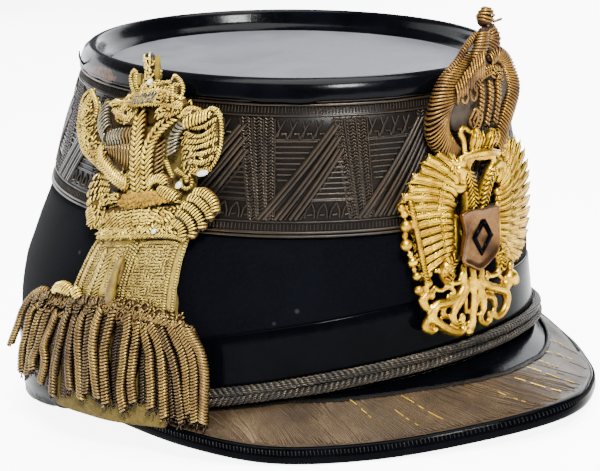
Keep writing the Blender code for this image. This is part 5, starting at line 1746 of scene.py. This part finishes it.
def make_stitches():
    """Close stitches along the lip of the binding."""
    stitches = []
    for x in np.arange(-74.0, 74.0, 0.62):
        jog = random.uniform(-0.06, 0.06)
        route = [(x, 1.34 + jog, 0.80), (x + 0.05, 1.56, 0.74), (x + 0.05, 1.62 + jog, 0.58)]
        stitches.append(on_binding(np.array(route)))
    sewn = rods("binding_stitches", stitches, 0.24, 4, caps=False)
    place(wrap(sewn, on_hat), CORD_BLACK, "dark_cord")


# ---------------------------------------------------------------- front plate
FEATHER_LEAN = 0.38            # how far a feather is tipped up on its upper side
COVERT_BACK = 0.10             # how far short feathers start behind the long ones
PLATE_VOXEL = 0.36             # grain of the casting
PLATE_BACK = 0.35              # flat back of the plate


def feather(root, tip, half, depth=2.2):
    """A feather as cast: a flat blade tipped up on its upper side, its shaft and barbs."""
    (ru, rv), (tu, tv) = root, tip
    length = math.hypot(tu - ru, tv - rv)
    along = np.array(((tu - ru) / length, (tv - rv) / length))
    side = np.array((along[1], -along[0]))
    bow = side * 0.06 * length
    lean = FEATHER_LEAN * np.sign(side[1])
    keys = [(ru, rv, depth, half * 0.75),
            ((ru + tu) / 2 + bow[0], (rv + tv) / 2 + bow[1], depth + 0.5, half),
            (tu - along[0] * half * 0.45, tv - along[1] * half * 0.45, depth + 0.2, half * 0.98),
            (tu, tv, depth, half * 0.78)]
    path = smooth_path(keys, 0.8)
    blade = rods("blade", [path], 1.0, 12)
    spots = coordinates(blade)
    near = np.argmin(((spots[:, None, :2] - path[None, :, :2])**2).sum(axis=2), axis=1)
    across = (spots[:, :2] - path[near, :2]) @ side
    spots[:, 2] = path[near, 2] + (spots[:, 2] - path[near, 2]) * 0.5 + lean * across
    move_to(blade, spots)
    lines = [np.column_stack((path[:, :2], path[:, 2] + path[:, 3] * 0.5, np.full(len(path), 0.36)))]
    for u, v, d, radius in path[1:-1]:
        for way in (-1.0, 1.0):
            out = side * way * radius * 0.9 + along * radius * 0.8
            lines.append(np.array([(u, v, d + radius * 0.45, 0.26),
                                   (u + out[0], v + out[1], d + 0.2 + lean * way * radius * 0.9, 0.22)]))
    return blade, lines


# Feathers of the two wings: root, tip, half width
LEFT_WING = (
    ((-11.6, 58.6), (-15.6, 68.6), 1.6), ((-13.2, 60.2), (-19.8, 67.8), 1.5),
    ((-13.6, 58.0), (-23.6, 66.6), 1.6), ((-14.6, 56.6), (-25.8, 63.2), 1.5),
    ((-14.4, 54.6), (-28.6, 61.0), 1.6), ((-15.4, 53.0), (-29.6, 57.4), 1.5),
    ((-15.0, 51.0), (-31.8, 55.0), 1.6), ((-15.6, 49.2), (-31.2, 51.4), 1.5),
    ((-14.6, 47.2), (-28.6, 48.4), 1.4), ((-14.4, 45.2), (-28.4, 45.4), 1.4),
    ((-14.0, 43.2), (-27.8, 42.2), 1.4), ((-13.6, 41.2), (-27.2, 39.0), 1.4),
    ((-13.4, 39.2), (-26.4, 35.8), 1.4), ((-13.0, 37.0), (-25.4, 32.8), 1.3),
    ((-14.0, 35.0), (-24.4, 29.8), 1.3))
RIGHT_WING = (
    ((7.2, 58.0), (10.6, 70.4), 1.6), ((8.6, 59.4), (14.6, 70.6), 1.5), ((9.6, 58.2), (18.6, 69.6), 1.6),
    ((9.6, 56.4), (22.2, 67.8), 1.6), ((9.0, 54.8), (25.4, 64.8), 1.5), ((9.8, 53.2), (27.6, 61.0), 1.6),
    ((8.6, 51.6), (28.6, 57.4), 1.5), ((9.0, 49.6), (29.0, 53.4), 1.6), ((8.4, 47.8), (28.8, 49.2), 1.5),
    ((8.8, 45.8), (28.6, 45.4), 1.5), ((8.2, 44.0), (27.6, 41.6), 1.5), ((8.4, 42.0), (26.2, 37.8), 1.5),
    ((8.0, 40.0), (24.2, 34.2), 1.4), ((8.0, 38.0), (21.2, 31.0), 1.4), ((8.0, 36.2), (17.4, 29.6), 1.2))

PLATE_BARS = (
    # necks, heads and beaks
    ((-5.8, 48.6, 2.2, 3.0), (-6.2, 53.4, 2.4, 2.8), (-7.4, 57.6, 3.2, 2.2), (-9.2, 61.0, 4.0, 2.1),
     (-12.0, 62.6, 4.0, 1.9)),
    ((-10.6, 60.4, 4.0, 1.8), (-8.6, 57.6, 3.8, 1.3), (-12.2, 57.2, 4.0, 1.0), (-15.6, 58.8, 3.6, 0.6)),
    ((-9.0, 56.2, 3.6, 0.9), (-11.6, 55.6, 3.6, 0.8), (-14.0, 57.0, 3.4, 0.5)),
    ((-12.0, 63.4, 4.0, 1.3), (-14.4, 65.6, 3.4, 0.9), (-12.6, 61.8, 3.6, 1.0), (-14.6, 60.2, 3.0, 0.7)),
    ((-1.2, 48.6, 2.2, 2.9), (-0.6, 53.0, 2.4, 2.6), (0.6, 57.8, 3.4, 2.1), (2.4, 61.6, 4.0, 2.1),
     (5.6, 63.2, 4.0, 1.9)),
    ((5.0, 62.8, 4.2, 1.6), (8.6, 62.2, 4.0, 1.1), (11.6, 63.4, 3.6, 0.6)),
    ((4.0, 60.4, 3.8, 1.2), (6.8, 59.6, 3.6, 0.9), (9.0, 60.6, 3.4, 0.5)),
    ((-8.6, 63.6, 4.6, 1.1), (-8.0, 66.0, 4.8, 1.0), (-4.0, 65.6, 5.0, 1.0), (1.6, 65.4, 4.8, 1.0),
     (3.0, 63.4, 4.6, 1.1)),
    # shoulders of the wings and the chest behind the shield
    ((-15.0, 59.0, 2.0, 1.2), (-17.0, 55.6, 2.2, 1.3), (-16.8, 51.2, 2.4, 1.4), (-14.6, 46.0, 2.2, 1.6)),
    ((9.0, 59.4, 2.0, 1.2), (11.0, 55.6, 2.2, 1.3), (10.4, 51.2, 2.4, 1.4), (8.4, 46.0, 2.2, 1.6)),
    ((-12.6, 46.6, 2.2, 2.2), (-12.2, 40.0, 2.2, 2.4), (-11.6, 34.6, 2.2, 2.2)),
    ((6.6, 46.6, 2.2, 2.2), (6.6, 40.0, 2.2, 2.4), (6.8, 35.0, 2.2, 2.2)),
    ((-6.4, 47.0, 2.4, 2.8), (-7.2, 40.0, 2.4, 2.9), (-5.4, 33.6, 2.4, 2.6)),
    ((-1.0, 47.0, 2.4, 2.8), (0.6, 40.0, 2.4, 2.9), (-1.4, 33.6, 2.4, 2.6)),
    # sceptre along the left wing
    ((-29.6, 54.0, 3.6, 0.8), (-26.6, 42.4, 3.8, 0.9), (-23.4, 29.6, 3.6, 0.8), (-22.6, 24.4, 3.2, 0.8)),
    # thighs, claws and orb's foot
    ((-13.0, 35.0, 2.8, 2.2), (-15.8, 31.6, 3.4, 2.6), (-15.4, 28.4, 3.2, 1.9), (-13.4, 26.0, 3.0, 1.2)),
    ((-13.4, 26.4, 3.2, 0.9), (-10.2, 26.4, 3.4, 0.9), (-9.8, 28.2, 3.2, 0.8)),
    ((-14.8, 25.4, 3.0, 0.9), (-17.6, 24.6, 3.0, 0.8), (-19.6, 26.0, 2.8, 0.7)),
    ((-14.0, 25.4, 3.2, 0.8), (-12.0, 23.4, 3.2, 0.7), (-14.6, 22.6, 2.8, 0.6)),
    ((6.2, 35.0, 2.8, 2.0), (8.6, 31.6, 3.4, 2.2), (8.4, 28.6, 3.2, 1.6), (6.6, 26.6, 3.0, 1.0)),
    ((7.0, 27.0, 3.2, 0.9), (3.6, 26.6, 3.4, 0.9), (1.8, 28.0, 3.2, 0.8)),
    ((8.0, 26.6, 3.0, 0.9), (10.0, 25.0, 3.0, 0.8), (12.0, 25.0, 2.8, 0.8)),
    # tail
    ((-8.6, 31.0, 2.8, 1.3), (-8.6, 27.6, 3.4, 1.2), (-7.4, 22.0, 3.0, 0.9), (-6.6, 16.0, 2.6, 0.7)),
    ((-4.8, 31.0, 2.8, 1.5), (-4.6, 24.0, 3.8, 1.2), (-4.4, 17.0, 3.4, 1.2), (-4.6, 12.0, 3.0, 1.6),
     (-4.8, 9.6, 2.6, 1.2)),
    ((-1.0, 31.0, 2.8, 1.3), (-1.0, 27.0, 3.4, 1.2), (-2.0, 21.0, 3.0, 0.9), (-2.6, 15.0, 2.6, 0.7)),
    # crown: its wall and its band
    ((-6.6, 68.8, 4.8, 2.2), (-6.9, 72.0, 6.0, 2.5), (-6.7, 73.8, 5.6, 1.5)),
    ((-1.2, 68.8, 4.8, 2.1), (-0.2, 71.8, 5.8, 2.4), (0.4, 73.4, 5.4, 1.5)),
    ((-10.2, 68.0, 4.4, 0.9), (-11.0, 71.6, 4.8, 0.9), (-12.4, 74.2, 4.6, 1.0), (-11.0, 75.6, 4.6, 0.9),
     (-8.8, 74.2, 4.8, 0.8)),
    ((-12.0, 66.0, 4.6, 1.1), (-8.0, 66.9, 5.6, 1.3), (-4.1, 67.2, 6.2, 1.4), (0.2, 67.0, 5.8, 1.3),
     (4.2, 66.5, 4.8, 1.1)),
)
# Scrolls of the tail
SCROLL_STOUT = 1.28
PLATE_SCROLLS = (
    ((-7.2, 26.0, 2.6, 1.3), (-10.0, 21.8, 3.0, 1.4), (-14.6, 20.4, 3.2, 1.3), (-19.0, 20.0, 3.2, 1.4),
     (-20.4, 16.4, 3.0, 1.4), (-17.0, 13.4, 3.0, 1.3), (-12.6, 10.8, 3.0, 1.2), (-8.8, 10.0, 2.8, 1.1),
     (-7.0, 12.2, 2.8, 0.9)),
    ((-6.8, 24.0, 2.8, 1.2), (-10.4, 20.0, 3.6, 1.2), (-12.8, 16.4, 3.4, 1.1), (-11.6, 13.4, 3.2, 1.0),
     (-8.8, 13.4, 3.2, 0.9), (-9.2, 15.4, 3.4, 0.9)),
    ((-2.6, 26.0, 2.8, 1.2), (-0.4, 20.6, 3.4, 1.2), (0.4, 16.4, 3.2, 1.0), (-0.8, 13.6, 3.0, 0.9),
     (1.0, 11.2, 3.0, 0.9), (3.6, 12.0, 3.0, 0.9), (3.2, 14.4, 3.2, 0.9)),
    ((-1.6, 27.0, 2.6, 1.2), (2.4, 23.6, 3.0, 1.3), (7.0, 22.0, 3.2, 1.3), (11.4, 20.4, 3.2, 1.3),
     (12.8, 17.0, 3.0, 1.2), (10.6, 13.6, 2.8, 1.1), (6.6, 12.6, 2.8, 1.0), (5.6, 14.8, 3.0, 0.9)),
    ((0.6, 20.8, 3.0, 0.9), (4.4, 19.4, 3.4, 1.0), (6.0, 16.6, 3.2, 0.9)),
    ((-20.6, 24.6, 2.6, 1.1), (-23.6, 22.6, 2.8, 1.2), (-22.0, 19.4, 2.8, 1.0), (-19.4, 20.6, 2.8, 0.9)),
    ((-20.8, 17.0, 2.6, 1.0), (-22.4, 13.6, 2.4, 1.0), (-19.6, 11.6, 2.4, 0.9), (-17.6, 13.2, 2.6, 0.8)),
    ((-15.4, 20.0, 3.0, 0.8), (-16.6, 17.0, 3.2, 0.9), (-14.4, 15.8, 3.0, 0.7)),
)

# Round bosses: across, up, out, radius
PLATE_BOSSES = (
    (-11.4, 64.9, 4.4, 1.9), (-30.4, 46.6, 3.0, 2.0), (-31.0, 50.4, 2.8, 1.4), (-30.2, 40.6, 3.0, 2.0),
    (-30.6, 43.6, 2.6, 1.1), (-28.6, 37.6, 2.6, 1.1), (-27.8, 35.0, 3.0, 1.8), (-26.2, 30.3, 3.0, 1.5),
    (-27.0, 32.6, 2.6, 0.9), (-25.4, 25.8, 3.0, 1.6), (-22.2, 27.6, 3.2, 1.5), (-24.0, 22.6, 2.8, 1.4),
    (-20.6, 23.2, 3.0, 1.2), (-32.2, 52.4, 2.8, 1.3), (-21.8, 30.4, 3.0, 1.2), (-19.1, 31.2, 2.8, 1.0),
    (14.0, 24.6, 3.4, 3.1), (16.6, 23.6, 3.2, 2.2), (12.0, 22.6, 3.2, 2.0), (14.8, 28.8, 3.0, 1.4),
    (2.1, 26.8, 3.4, 1.1), (9.3, 22.9, 3.4, 1.1), (-9.6, 28.6, 3.4, 0.9), (-5.0, 9.6, 2.6, 1.5),
    (5.4, 14.6, 3.2, 1.1), (3.2, 14.0, 3.4, 1.1), (-8.9, 14.6, 3.6, 1.1), (-7.0, 12.0, 3.0, 1.1),
    (11.0, 68.8, 2.6, 1.7), (-7.6, 65.0, 5.0, 0.9), (5.0, 66.4, 4.8, 1.2), (8.2, 65.8, 4.4, 1.1),
    (6.8, 53.8, 3.2, 1.5), (6.6, 49.6, 3.4, 1.3), (-14.4, 53.2, 3.4, 1.3))


def make_plate():
    """Pierced, cast plate: its forms melted into one, its feathers laid over them."""
    blades = []
    lines = []
    for wing in (LEFT_WING, RIGHT_WING):
        for root, tip, half in wing:
            blade, line = feather(root, tip, half * 1.32, 2.0)
            blades.append(blade)
            lines += line
            root, tip = np.array(root), np.array(tip)
            root -= (tip - root) * COVERT_BACK
            for reach, depth in ((0.66, 2.6), (0.36, 3.3)):
                blade, line = feather(root, root + (tip - root) * reach + (0.0, 0.9), half * 1.15, depth)
                blades.append(blade)
                lines += line
    bars = [smooth_path(points, 0.7) for points in PLATE_BARS]
    bars += [smooth_path([(u, v, d, radius * SCROLL_STOUT) for u, v, d, radius in points], 0.7)
             for points in PLATE_SCROLLS]
    forms = [rods("bars", bars, 1.0, 10),
             blobs("bosses", [(u, v, d, r, r, r * 0.9) for u, v, d, r in PLATE_BOSSES], 14, 10)]
    ends = [path[0] for path in bars] + [path[-1] for path in bars]
    forms.append(blobs("ends", [(u, v, d, r, r, r) for u, v, d, r in ends], 10, 6))
    # Scales of the sceptre and grooves of the thighs
    grooves = []
    for k in range(26):
        t = k / 25
        u, v = -29.4 + 6.4 * t, 53.4 - 25.0 * t
        grooves.append([(u - 1.0, v + 0.3, 3.6), (u, v - 0.2, 4.8), (u + 1.0, v + 0.3, 3.6)])
    for u, v in ((-15.6, 33.4), (-15.4, 31.6), (-15.2, 29.8), (-14.8, 28.2), (8.2, 33.4), (8.6, 31.6),
                 (8.4, 29.8)):
        grooves.append([(u - 1.6, v + 1.0, 5.2), (u, v, 6.0), (u + 1.6, v + 1.0, 5.2)])
    for k in range(13):
        t = k / 12
        grooves.append([(-11.6 + 15.4 * t, 65.3 + 0.9 * math.sin(math.pi * t),
                         5.4 + 1.7 * math.sin(math.pi * t)),
                        (-11.5 + 15.4 * t, 66.1 + 0.9 * math.sin(math.pi * t),
                         5.6 + 1.7 * math.sin(math.pi * t))])
    for foot, tip in ((-8.4, -8.2), (-6.9, -6.9), (-5.4, -5.6), (-2.6, -1.6), (-1.0, 0.2), (0.8, 1.8)):
        grooves.append([(foot, 68.4, 7.0), ((foot + tip) / 2, 71.6, 8.5), (tip, 74.0, 7.4)])
    cast = join("eagle_cast", forms)
    fuse(cast, PLATE_VOXEL)
    # Chased plumage on the necks and thighs, and a fillet along each scroll
    for points, width in (([(-5.8, 49.4), (-6.2, 53.4), (-7.4, 57.6), (-9.0, 60.6)], 4.2),
                          ([(-1.4, 49.4), (-0.6, 53.0), (0.6, 57.8), (2.2, 61.0)], 4.0),
                          ([(-13.4, 34.6), (-15.6, 31.6), (-15.2, 28.4)], 4.0),
                          ([(6.6, 34.6), (8.6, 31.6), (8.2, 28.8)], 3.6)):
        grooves += herringbone(cast, points, width, 1.5, 0.05)
    for points in PLATE_SCROLLS:
        path = smooth_path([(u, v, d + radius * 1.12) for u, v, d, radius in points], 0.8)
        grooves.append(path)
    cast = join("eagle_cast", [cast, rods("grooves", grooves, 0.34, 4)])
    plumage = join("eagle_feathers", [rods("lines", lines, 1.0, 4)] + blades)
    for thing in (cast, plumage):
        low = coordinates(thing)
        low[:, 2] = np.maximum(low[:, 2], PLATE_BACK)
        move_to(thing, low)
    place(wrap(plumage, on_plate), GILT, "gilt_metal")
    return place(wrap(cast, on_plate), GILT, "gilt_metal", "eagle_plate")


SHIELD_SHIFT = -2.4            # sets the shield back sideways for its depth
SHIELD_OUTLINE = ((-10.8, 48.4), (-7.4, 49.6), (-2.6, 49.4), (1.6, 49.7), (4.9, 49.2), (5.3, 44.0),
                  (5.6, 38.0), (4.8, 34.6), (1.2, 31.6), (-2.9, 29.6), (-6.6, 31.2), (-9.8, 33.2),
                  (-9.9, 38.0), (-9.2, 43.0))
SHIELD_MIDDLE = (-2.6, 40.2)
SHIELD_FRONT = 7.4


def make_shield():
    """Dished copper shield with a rolled rim and a plain slot."""
    rows = 12
    sheet = grid("shield_heater", 96, rows)
    spots = coordinates(sheet)
    outline = smooth_path([(*point, 0.0) for point in SHIELD_OUTLINE + (SHIELD_OUTLINE[0],)], 0.6)
    around = spots[:, 0] * (len(outline) - 1)
    edge_u = np.interp(around, np.arange(len(outline)), outline[:, 0])
    edge_v = np.interp(around, np.arange(len(outline)), outline[:, 1])
    share = np.interp(spots[:, 1] * rows, np.arange(rows + 1),
                      (0.0, 0.12, 0.3, 0.55, 0.75, 0.86, 0.91, 0.96, 1.0, 1.0, 0.97, 0.6, 0.0))
    depth = np.interp(spots[:, 1] * rows, np.arange(rows + 1),
                      (-0.55, -0.5, -0.45, -0.4, -0.3, -0.1, 0.3, 0.45, 0.1, -1.0, -1.4, -1.5, -1.5))
    u = SHIELD_SHIFT + SHIELD_MIDDLE[0] + (edge_u - SHIELD_MIDDLE[0]) * share
    v = SHIELD_MIDDLE[1] + (edge_v - SHIELD_MIDDLE[1]) * share
    move_to(sheet, np.stack((u, v, depth + SHIELD_FRONT), axis=1))
    tidy(sheet)
    place(wrap(sheet, on_plate), COPPER, "copper_shield", "plate_shield")
    bars = [[(-4.0, 45.4, 7.0), (-0.6, 40.4, 7.1), (-4.4, 35.0, 7.0), (-7.6, 40.2, 7.1), (-4.0, 45.4, 7.0)]]
    mark = rods("shield_slot", bars, 0.85, 8)
    place(wrap(mark, on_plate), BLACK_PATENT, "copper_shield")


# ---------------------------------------------------------------- cockade
COCKADE_MIDDLE = (2.2, 85.4)
COCKADE_HALF = 17.0
COCKADE_UPPER = 15.8
COCKADE_LOWER = 14.2
GROUND_SHARE = 0.76            # of the cockade's size, inside its ring


def make_cockade():
    """Rosette of wound metal cord: a padded ring, its knot and the bars in its middle."""
    left = [(3.0, 98.6, 0.0, 2.0), (-4.4, 94.0, 0.0, 3.6), (-10.6, 88.8, 0.0, 4.3), (-14.2, 82.2, 0.0, 4.4),
            (-12.8, 75.6, 0.0, 3.9), (-8.2, 70.6, 0.0, 3.1), (-4.8, 68.0, 0.0, 2.5)]
    right = [(8.6, 95.6, 2.2, 1.7), (12.6, 97.4, 1.6, 2.3), (17.0, 94.6, 0.6, 2.7), (19.2, 89.6, 0.0, 2.9),
             (19.6, 83.4, 0.0, 2.9), (18.0, 76.2, 0.0, 2.8), (15.2, 70.2, 0.0, 2.5), (13.0, 67.2, 0.0, 2.1)]
    for name, path, lean, pitch in (("left", left, 0.75, 1.05), ("right", right, -0.5, 1.0)):
        core = rods("cockade_core_" + name, [smooth_path(path, 0.8)], 0.93, 14)
        move_to(core, coordinates(core) * (1.0, 1.0, 0.72))
        # The padded core in dark thread: painted shade between the windings.
        sew(core, on_cockade, SHADED_COCKADE_CORE)
        wires = wound(path, 1.0, pitch, 20, 0.76, lean=lean)
        winding = rods("cockade_wound_" + name, [wires], 0.40, 6)
        extra = ("cockade_ring",) if name == "left" else ()
        sew(winding, on_cockade, COCKADE_GOLD, *extra)
    # Long wires that hang from the upper edge, and the cord laid along it
    hanging = []
    for k in range(13):
        t = k / 12
        top = (5.2 - 14.6 * t, 100.6 - 9.6 * t - random.uniform(0.0, 0.9))
        foot = (3.6 - 13.2 * t, 91.4 - 6.4 * t + random.uniform(-0.9, 0.9))
        hanging.append(smooth_path([(*top, 3.4), ((top[0] + foot[0]) / 2 - 0.8, (top[1] + foot[1]) / 2, 4.6),
                                    (*foot, 3.4)], 1.0))
    for u, v in ((-5.7, 85.0), (-1.6, 85.2)):
        hanging.append(smooth_path([(u - 1.3, v + 5.0, 3.0), (u - 1.4, v + 0.8, 3.0), (u, v - 0.8, 3.0),
                                    (u + 1.4, v + 0.8, 3.0), (u + 1.3, v + 5.0, 3.0)], 0.7))
    bars = []
    for u in (2.4, 6.6, 10.4):
        bars += twisted([(u + 0.4, 89.4, 2.2), (u, 82.0, 2.7), (u + 0.2, 75.4, 2.2)], 0.62, 2.6, 2, 9)
    for u, v in ((-0.2, 78.4), (1.6, 77.8)):
        bars.append(smooth_path([(u - 1.9, v, 2.4), (u, v + 3.4, 2.8), (u + 1.7, v, 2.8), (u, v - 3.2, 2.6),
                                 (u - 1.9, v, 2.4)], 0.7))
    arch = []
    for rise in (0.0, 1.5):
        arch.append(wound([(-0.6, 87.4 + rise, 2.2), (2.6, 90.6 + rise, 2.6), (6.6, 91.8 + rise, 2.8),
                           (10.6, 91.4 + rise, 2.6), (13.2, 88.4 + rise, 2.0)], 0.75, 1.05, 9))
    arch.append(wound([(8.0, 90.2, 3.0), (9.0, 92.6, 3.4), (11.4, 92.4, 3.4), (11.2, 90.2, 3.2),
                       (9.6, 90.4, 3.2)],
                      0.6, 1.05, 9))
    drawn = join("cockade_drawn_wires", [rods("hanging", hanging, 0.48, 6), rods("bars", bars, 0.58, 6),
                                         rods("arch", arch, 0.42, 6)])
    sew(drawn, on_cockade, COCKADE_GOLD, "cockade_bars")
    # The edge cord, the knot and its cap
    tuft = [wound([(6.4, 104.6, 0.6), (3.2, 103.0, 0.8), (-1.1, 100.3, 1.0), (-4.8, 97.4, 1.0),
                   (-9.6, 94.6, 0.8)],
                  0.8, 1.0, 9)]
    tuft.append(wound([(10.8, 98.8, 0.8, 2.4), (12.8, 102.4, 1.0, 2.9), (11.8, 106.0, 0.8, 2.2)], 2.9, 0.98,
                      16, 0.8))
    tuft.append(wound([(3.2, 97.0, 1.6, 1.8), (5.6, 100.4, 2.2, 2.5), (8.6, 104.6, 1.6, 2.2)], 2.3, 0.98,
                      14, 0.8, lean=0.7))
    tuft.append(wound([(11.0, 107.9, 0.4, 2.3), (11.8, 109.6, 0.6, 2.9), (12.4, 111.4, 0.4, 2.1),
                       (12.6, 112.4, 0.4, 0.9)], 1.0, 1.0, 16, 0.9, lean=0.15))
    body = join("knot_core", limbs("knot_limb", (
        ((10.8, 98.8, 0.8, 2.2), (12.8, 102.4, 1.0, 2.7), (11.8, 106.0, 0.8, 2.0)),
        ((3.2, 97.0, 1.6, 1.6), (5.6, 100.4, 2.2, 2.3), (8.6, 104.6, 1.6, 2.0)),
        ((11.2, 108.4, 0.4, 2.5), (12.4, 111.0, 0.4, 1.8)))))
    # The knot's core in dark thread: painted shade between the windings.
    sew(body, on_cockade, SHADED_COCKADE_CORE)
    spike = rods("knot_spike", [[(15.0, 107.4, 0.6), (17.4, 107.6, 0.8), (18.8, 107.8, 0.8)]], 0.45, 6)
    knot = join("cockade_knot", [rods("tuft", tuft, 0.42, 6), spike])
    sew(knot, on_cockade, COCKADE_GOLD, "cockade_tuft")
    # Matt ground inside the ring
    ground = grid("cockade_ground", 48, 8)
    spots = coordinates(ground)
    turn = spots[:, 0] * math.tau
    which = closed_rows(spots, 8)
    share = np.array((0.0, 0.4, 0.8, 1.0, 1.0, 0.8, 0.4, 0.0))[which]
    depth = np.array((1.3, 1.3, 1.2, 1.0, -0.7, -0.9, -0.9, -0.9))[which]
    tall = np.cos(turn) * np.where(np.cos(turn) > 0, COCKADE_UPPER, COCKADE_LOWER) * GROUND_SHARE
    wide = COCKADE_HALF * GROUND_SHARE * np.sin(turn)
    u = COCKADE_MIDDLE[0] + (wide + 0.30 * (tall + 4.0)) * share
    v = COCKADE_MIDDLE[1] + tall * share
    move_to(ground, np.stack((u, v, depth), axis=1))
    tidy(ground)
    sew(ground, on_cockade, COCKADE_MATT, "cockade_field")


# ---------------------------------------------------------------- camera, floor and light
CAMERA_PLACE = (-417.93, -517.02, 124.72)          # hat millimetres
CAMERA_FORWARD = (0.64258, 0.75561, -0.12709)
CAMERA_UP = (0.21013, -0.01427, 0.97757)
CAMERA_LENS = 108.95
SENSOR_WIDE = 36.0
LAMPS_AIM = (0.0, 0.0, 0.06)
# Columns: name, place, size, power, tint
LAMPS = (
    ("key", (-0.62, -1.05, 1.05), (0.34, 0.34), 78.0, (1.0, 1.0, 1.0)),
    ("top", (0.0, -0.1, 1.4), (1.1, 1.1), 44.0, (1.0, 1.0, 1.0)),
    ("right", (1.5, 0.5, 0.75), (1.3, 1.1), 40.0, (0.93, 0.96, 1.0)),
    ("back", (-0.3, 1.9, 0.5), (2.6, 0.9), 40.0, (0.95, 0.97, 1.0)))


def make_camera():
    camera = bpy.data.cameras.new("camera")
    thing = bpy.data.objects.new("camera", camera)
    bpy.context.scene.collection.objects.link(thing)
    tip = Matrix.Rotation(-TIP_BACK, 3, "X")
    back = -(tip @ Vector(CAMERA_FORWARD))
    up = tip @ Vector(CAMERA_UP)
    right = up.cross(back)
    turned = Matrix((right, up, back)).transposed().to_4x4()
    turned.translation = Vector(stand(np.array([CAMERA_PLACE]))[0])
    thing.matrix_world = turned
    camera.lens = CAMERA_LENS
    camera.sensor_width = SENSOR_WIDE
    camera.sensor_fit = "HORIZONTAL"
    camera.clip_start = 0.01
    bpy.context.scene.camera = thing


def soft_box(name, place_at, size, power, tint):
    light = bpy.data.lights.new(name, "AREA")
    light.shape = "RECTANGLE"
    light.size, light.size_y = size
    light.energy = power
    light.color = tint
    thing = bpy.data.objects.new(name, light)
    bpy.context.scene.collection.objects.link(thing)
    thing.location = place_at
    aim = Vector(LAMPS_AIM) - Vector(place_at)
    thing.rotation_euler = aim.to_track_quat("-Z", "Y").to_euler()


def make_studio():
    bpy.ops.mesh.primitive_plane_add(size=6.0, location=(0.0, 0.0, 0.0))
    floor = bpy.context.object
    floor.name = "studio_floor"
    material, tree, shader, where = base_material("pale_floor")
    mottle = noise(tree, 3.0)
    tree.links.new(where, mottle.inputs["Vector"])
    colour = blend(tree, mottle.outputs["Fac"], rgb(0.86, 0.86, 0.86), rgb(0.90, 0.90, 0.90))
    tree.links.new(colour, shader.inputs["Base Color"])
    shader.inputs["Roughness"].default_value = 0.9
    shader.inputs["Specular IOR Level"].default_value = 0.1
    seen = node(tree, "ShaderNodeLightPath", -400, -300)
    tree.links.new(seen.outputs["Is Camera Ray"], shader.inputs["Emission Color"])
    shader.inputs["Emission Strength"].default_value = 7.0
    floor.data.materials.append(material)
    for lamp in LAMPS:
        soft_box(*lamp)
    make_world()


def make_world():
    """White behind the hat, and dim to everything that the hat reflects."""
    world = bpy.data.worlds.new("studio")
    bpy.context.scene.world = world
    world.use_nodes = True
    tree = world.node_tree
    dim = tree.nodes["Background"]
    dim.inputs["Color"].default_value = rgb(0.9, 0.94, 1.0)
    dim.inputs["Strength"].default_value = 0.3
    white = node(tree, "ShaderNodeBackground", 0, -200)
    white.inputs["Color"].default_value = rgb(1.0, 1.0, 1.0)
    white.inputs["Strength"].default_value = 14.0
    rays = node(tree, "ShaderNodeLightPath", -200, 300)
    either = node(tree, "ShaderNodeMixShader", 250, 0)
    tree.links.new(rays.outputs["Is Camera Ray"], either.inputs[0])
    tree.links.new(dim.outputs[0], either.inputs[1])
    tree.links.new(white.outputs[0], either.inputs[2])
    tree.links.new(either.outputs[0], tree.nodes["World Output"].inputs["Surface"])


make_camera()
make_studio()
make_cloth()
make_leather_band()
make_lace_ground()
make_crown()
make_curled_thread()
make_peak()
make_peak_lace()
make_peak_trim()
make_binding()
make_stitches()
make_lace()
make_cords()
make_buttons()
make_plate()
make_shield()
make_cockade()
make_badge_felt()
make_badge_top()
make_badge_middle()
make_pearls()
make_panel()
make_loop()
make_fringe()
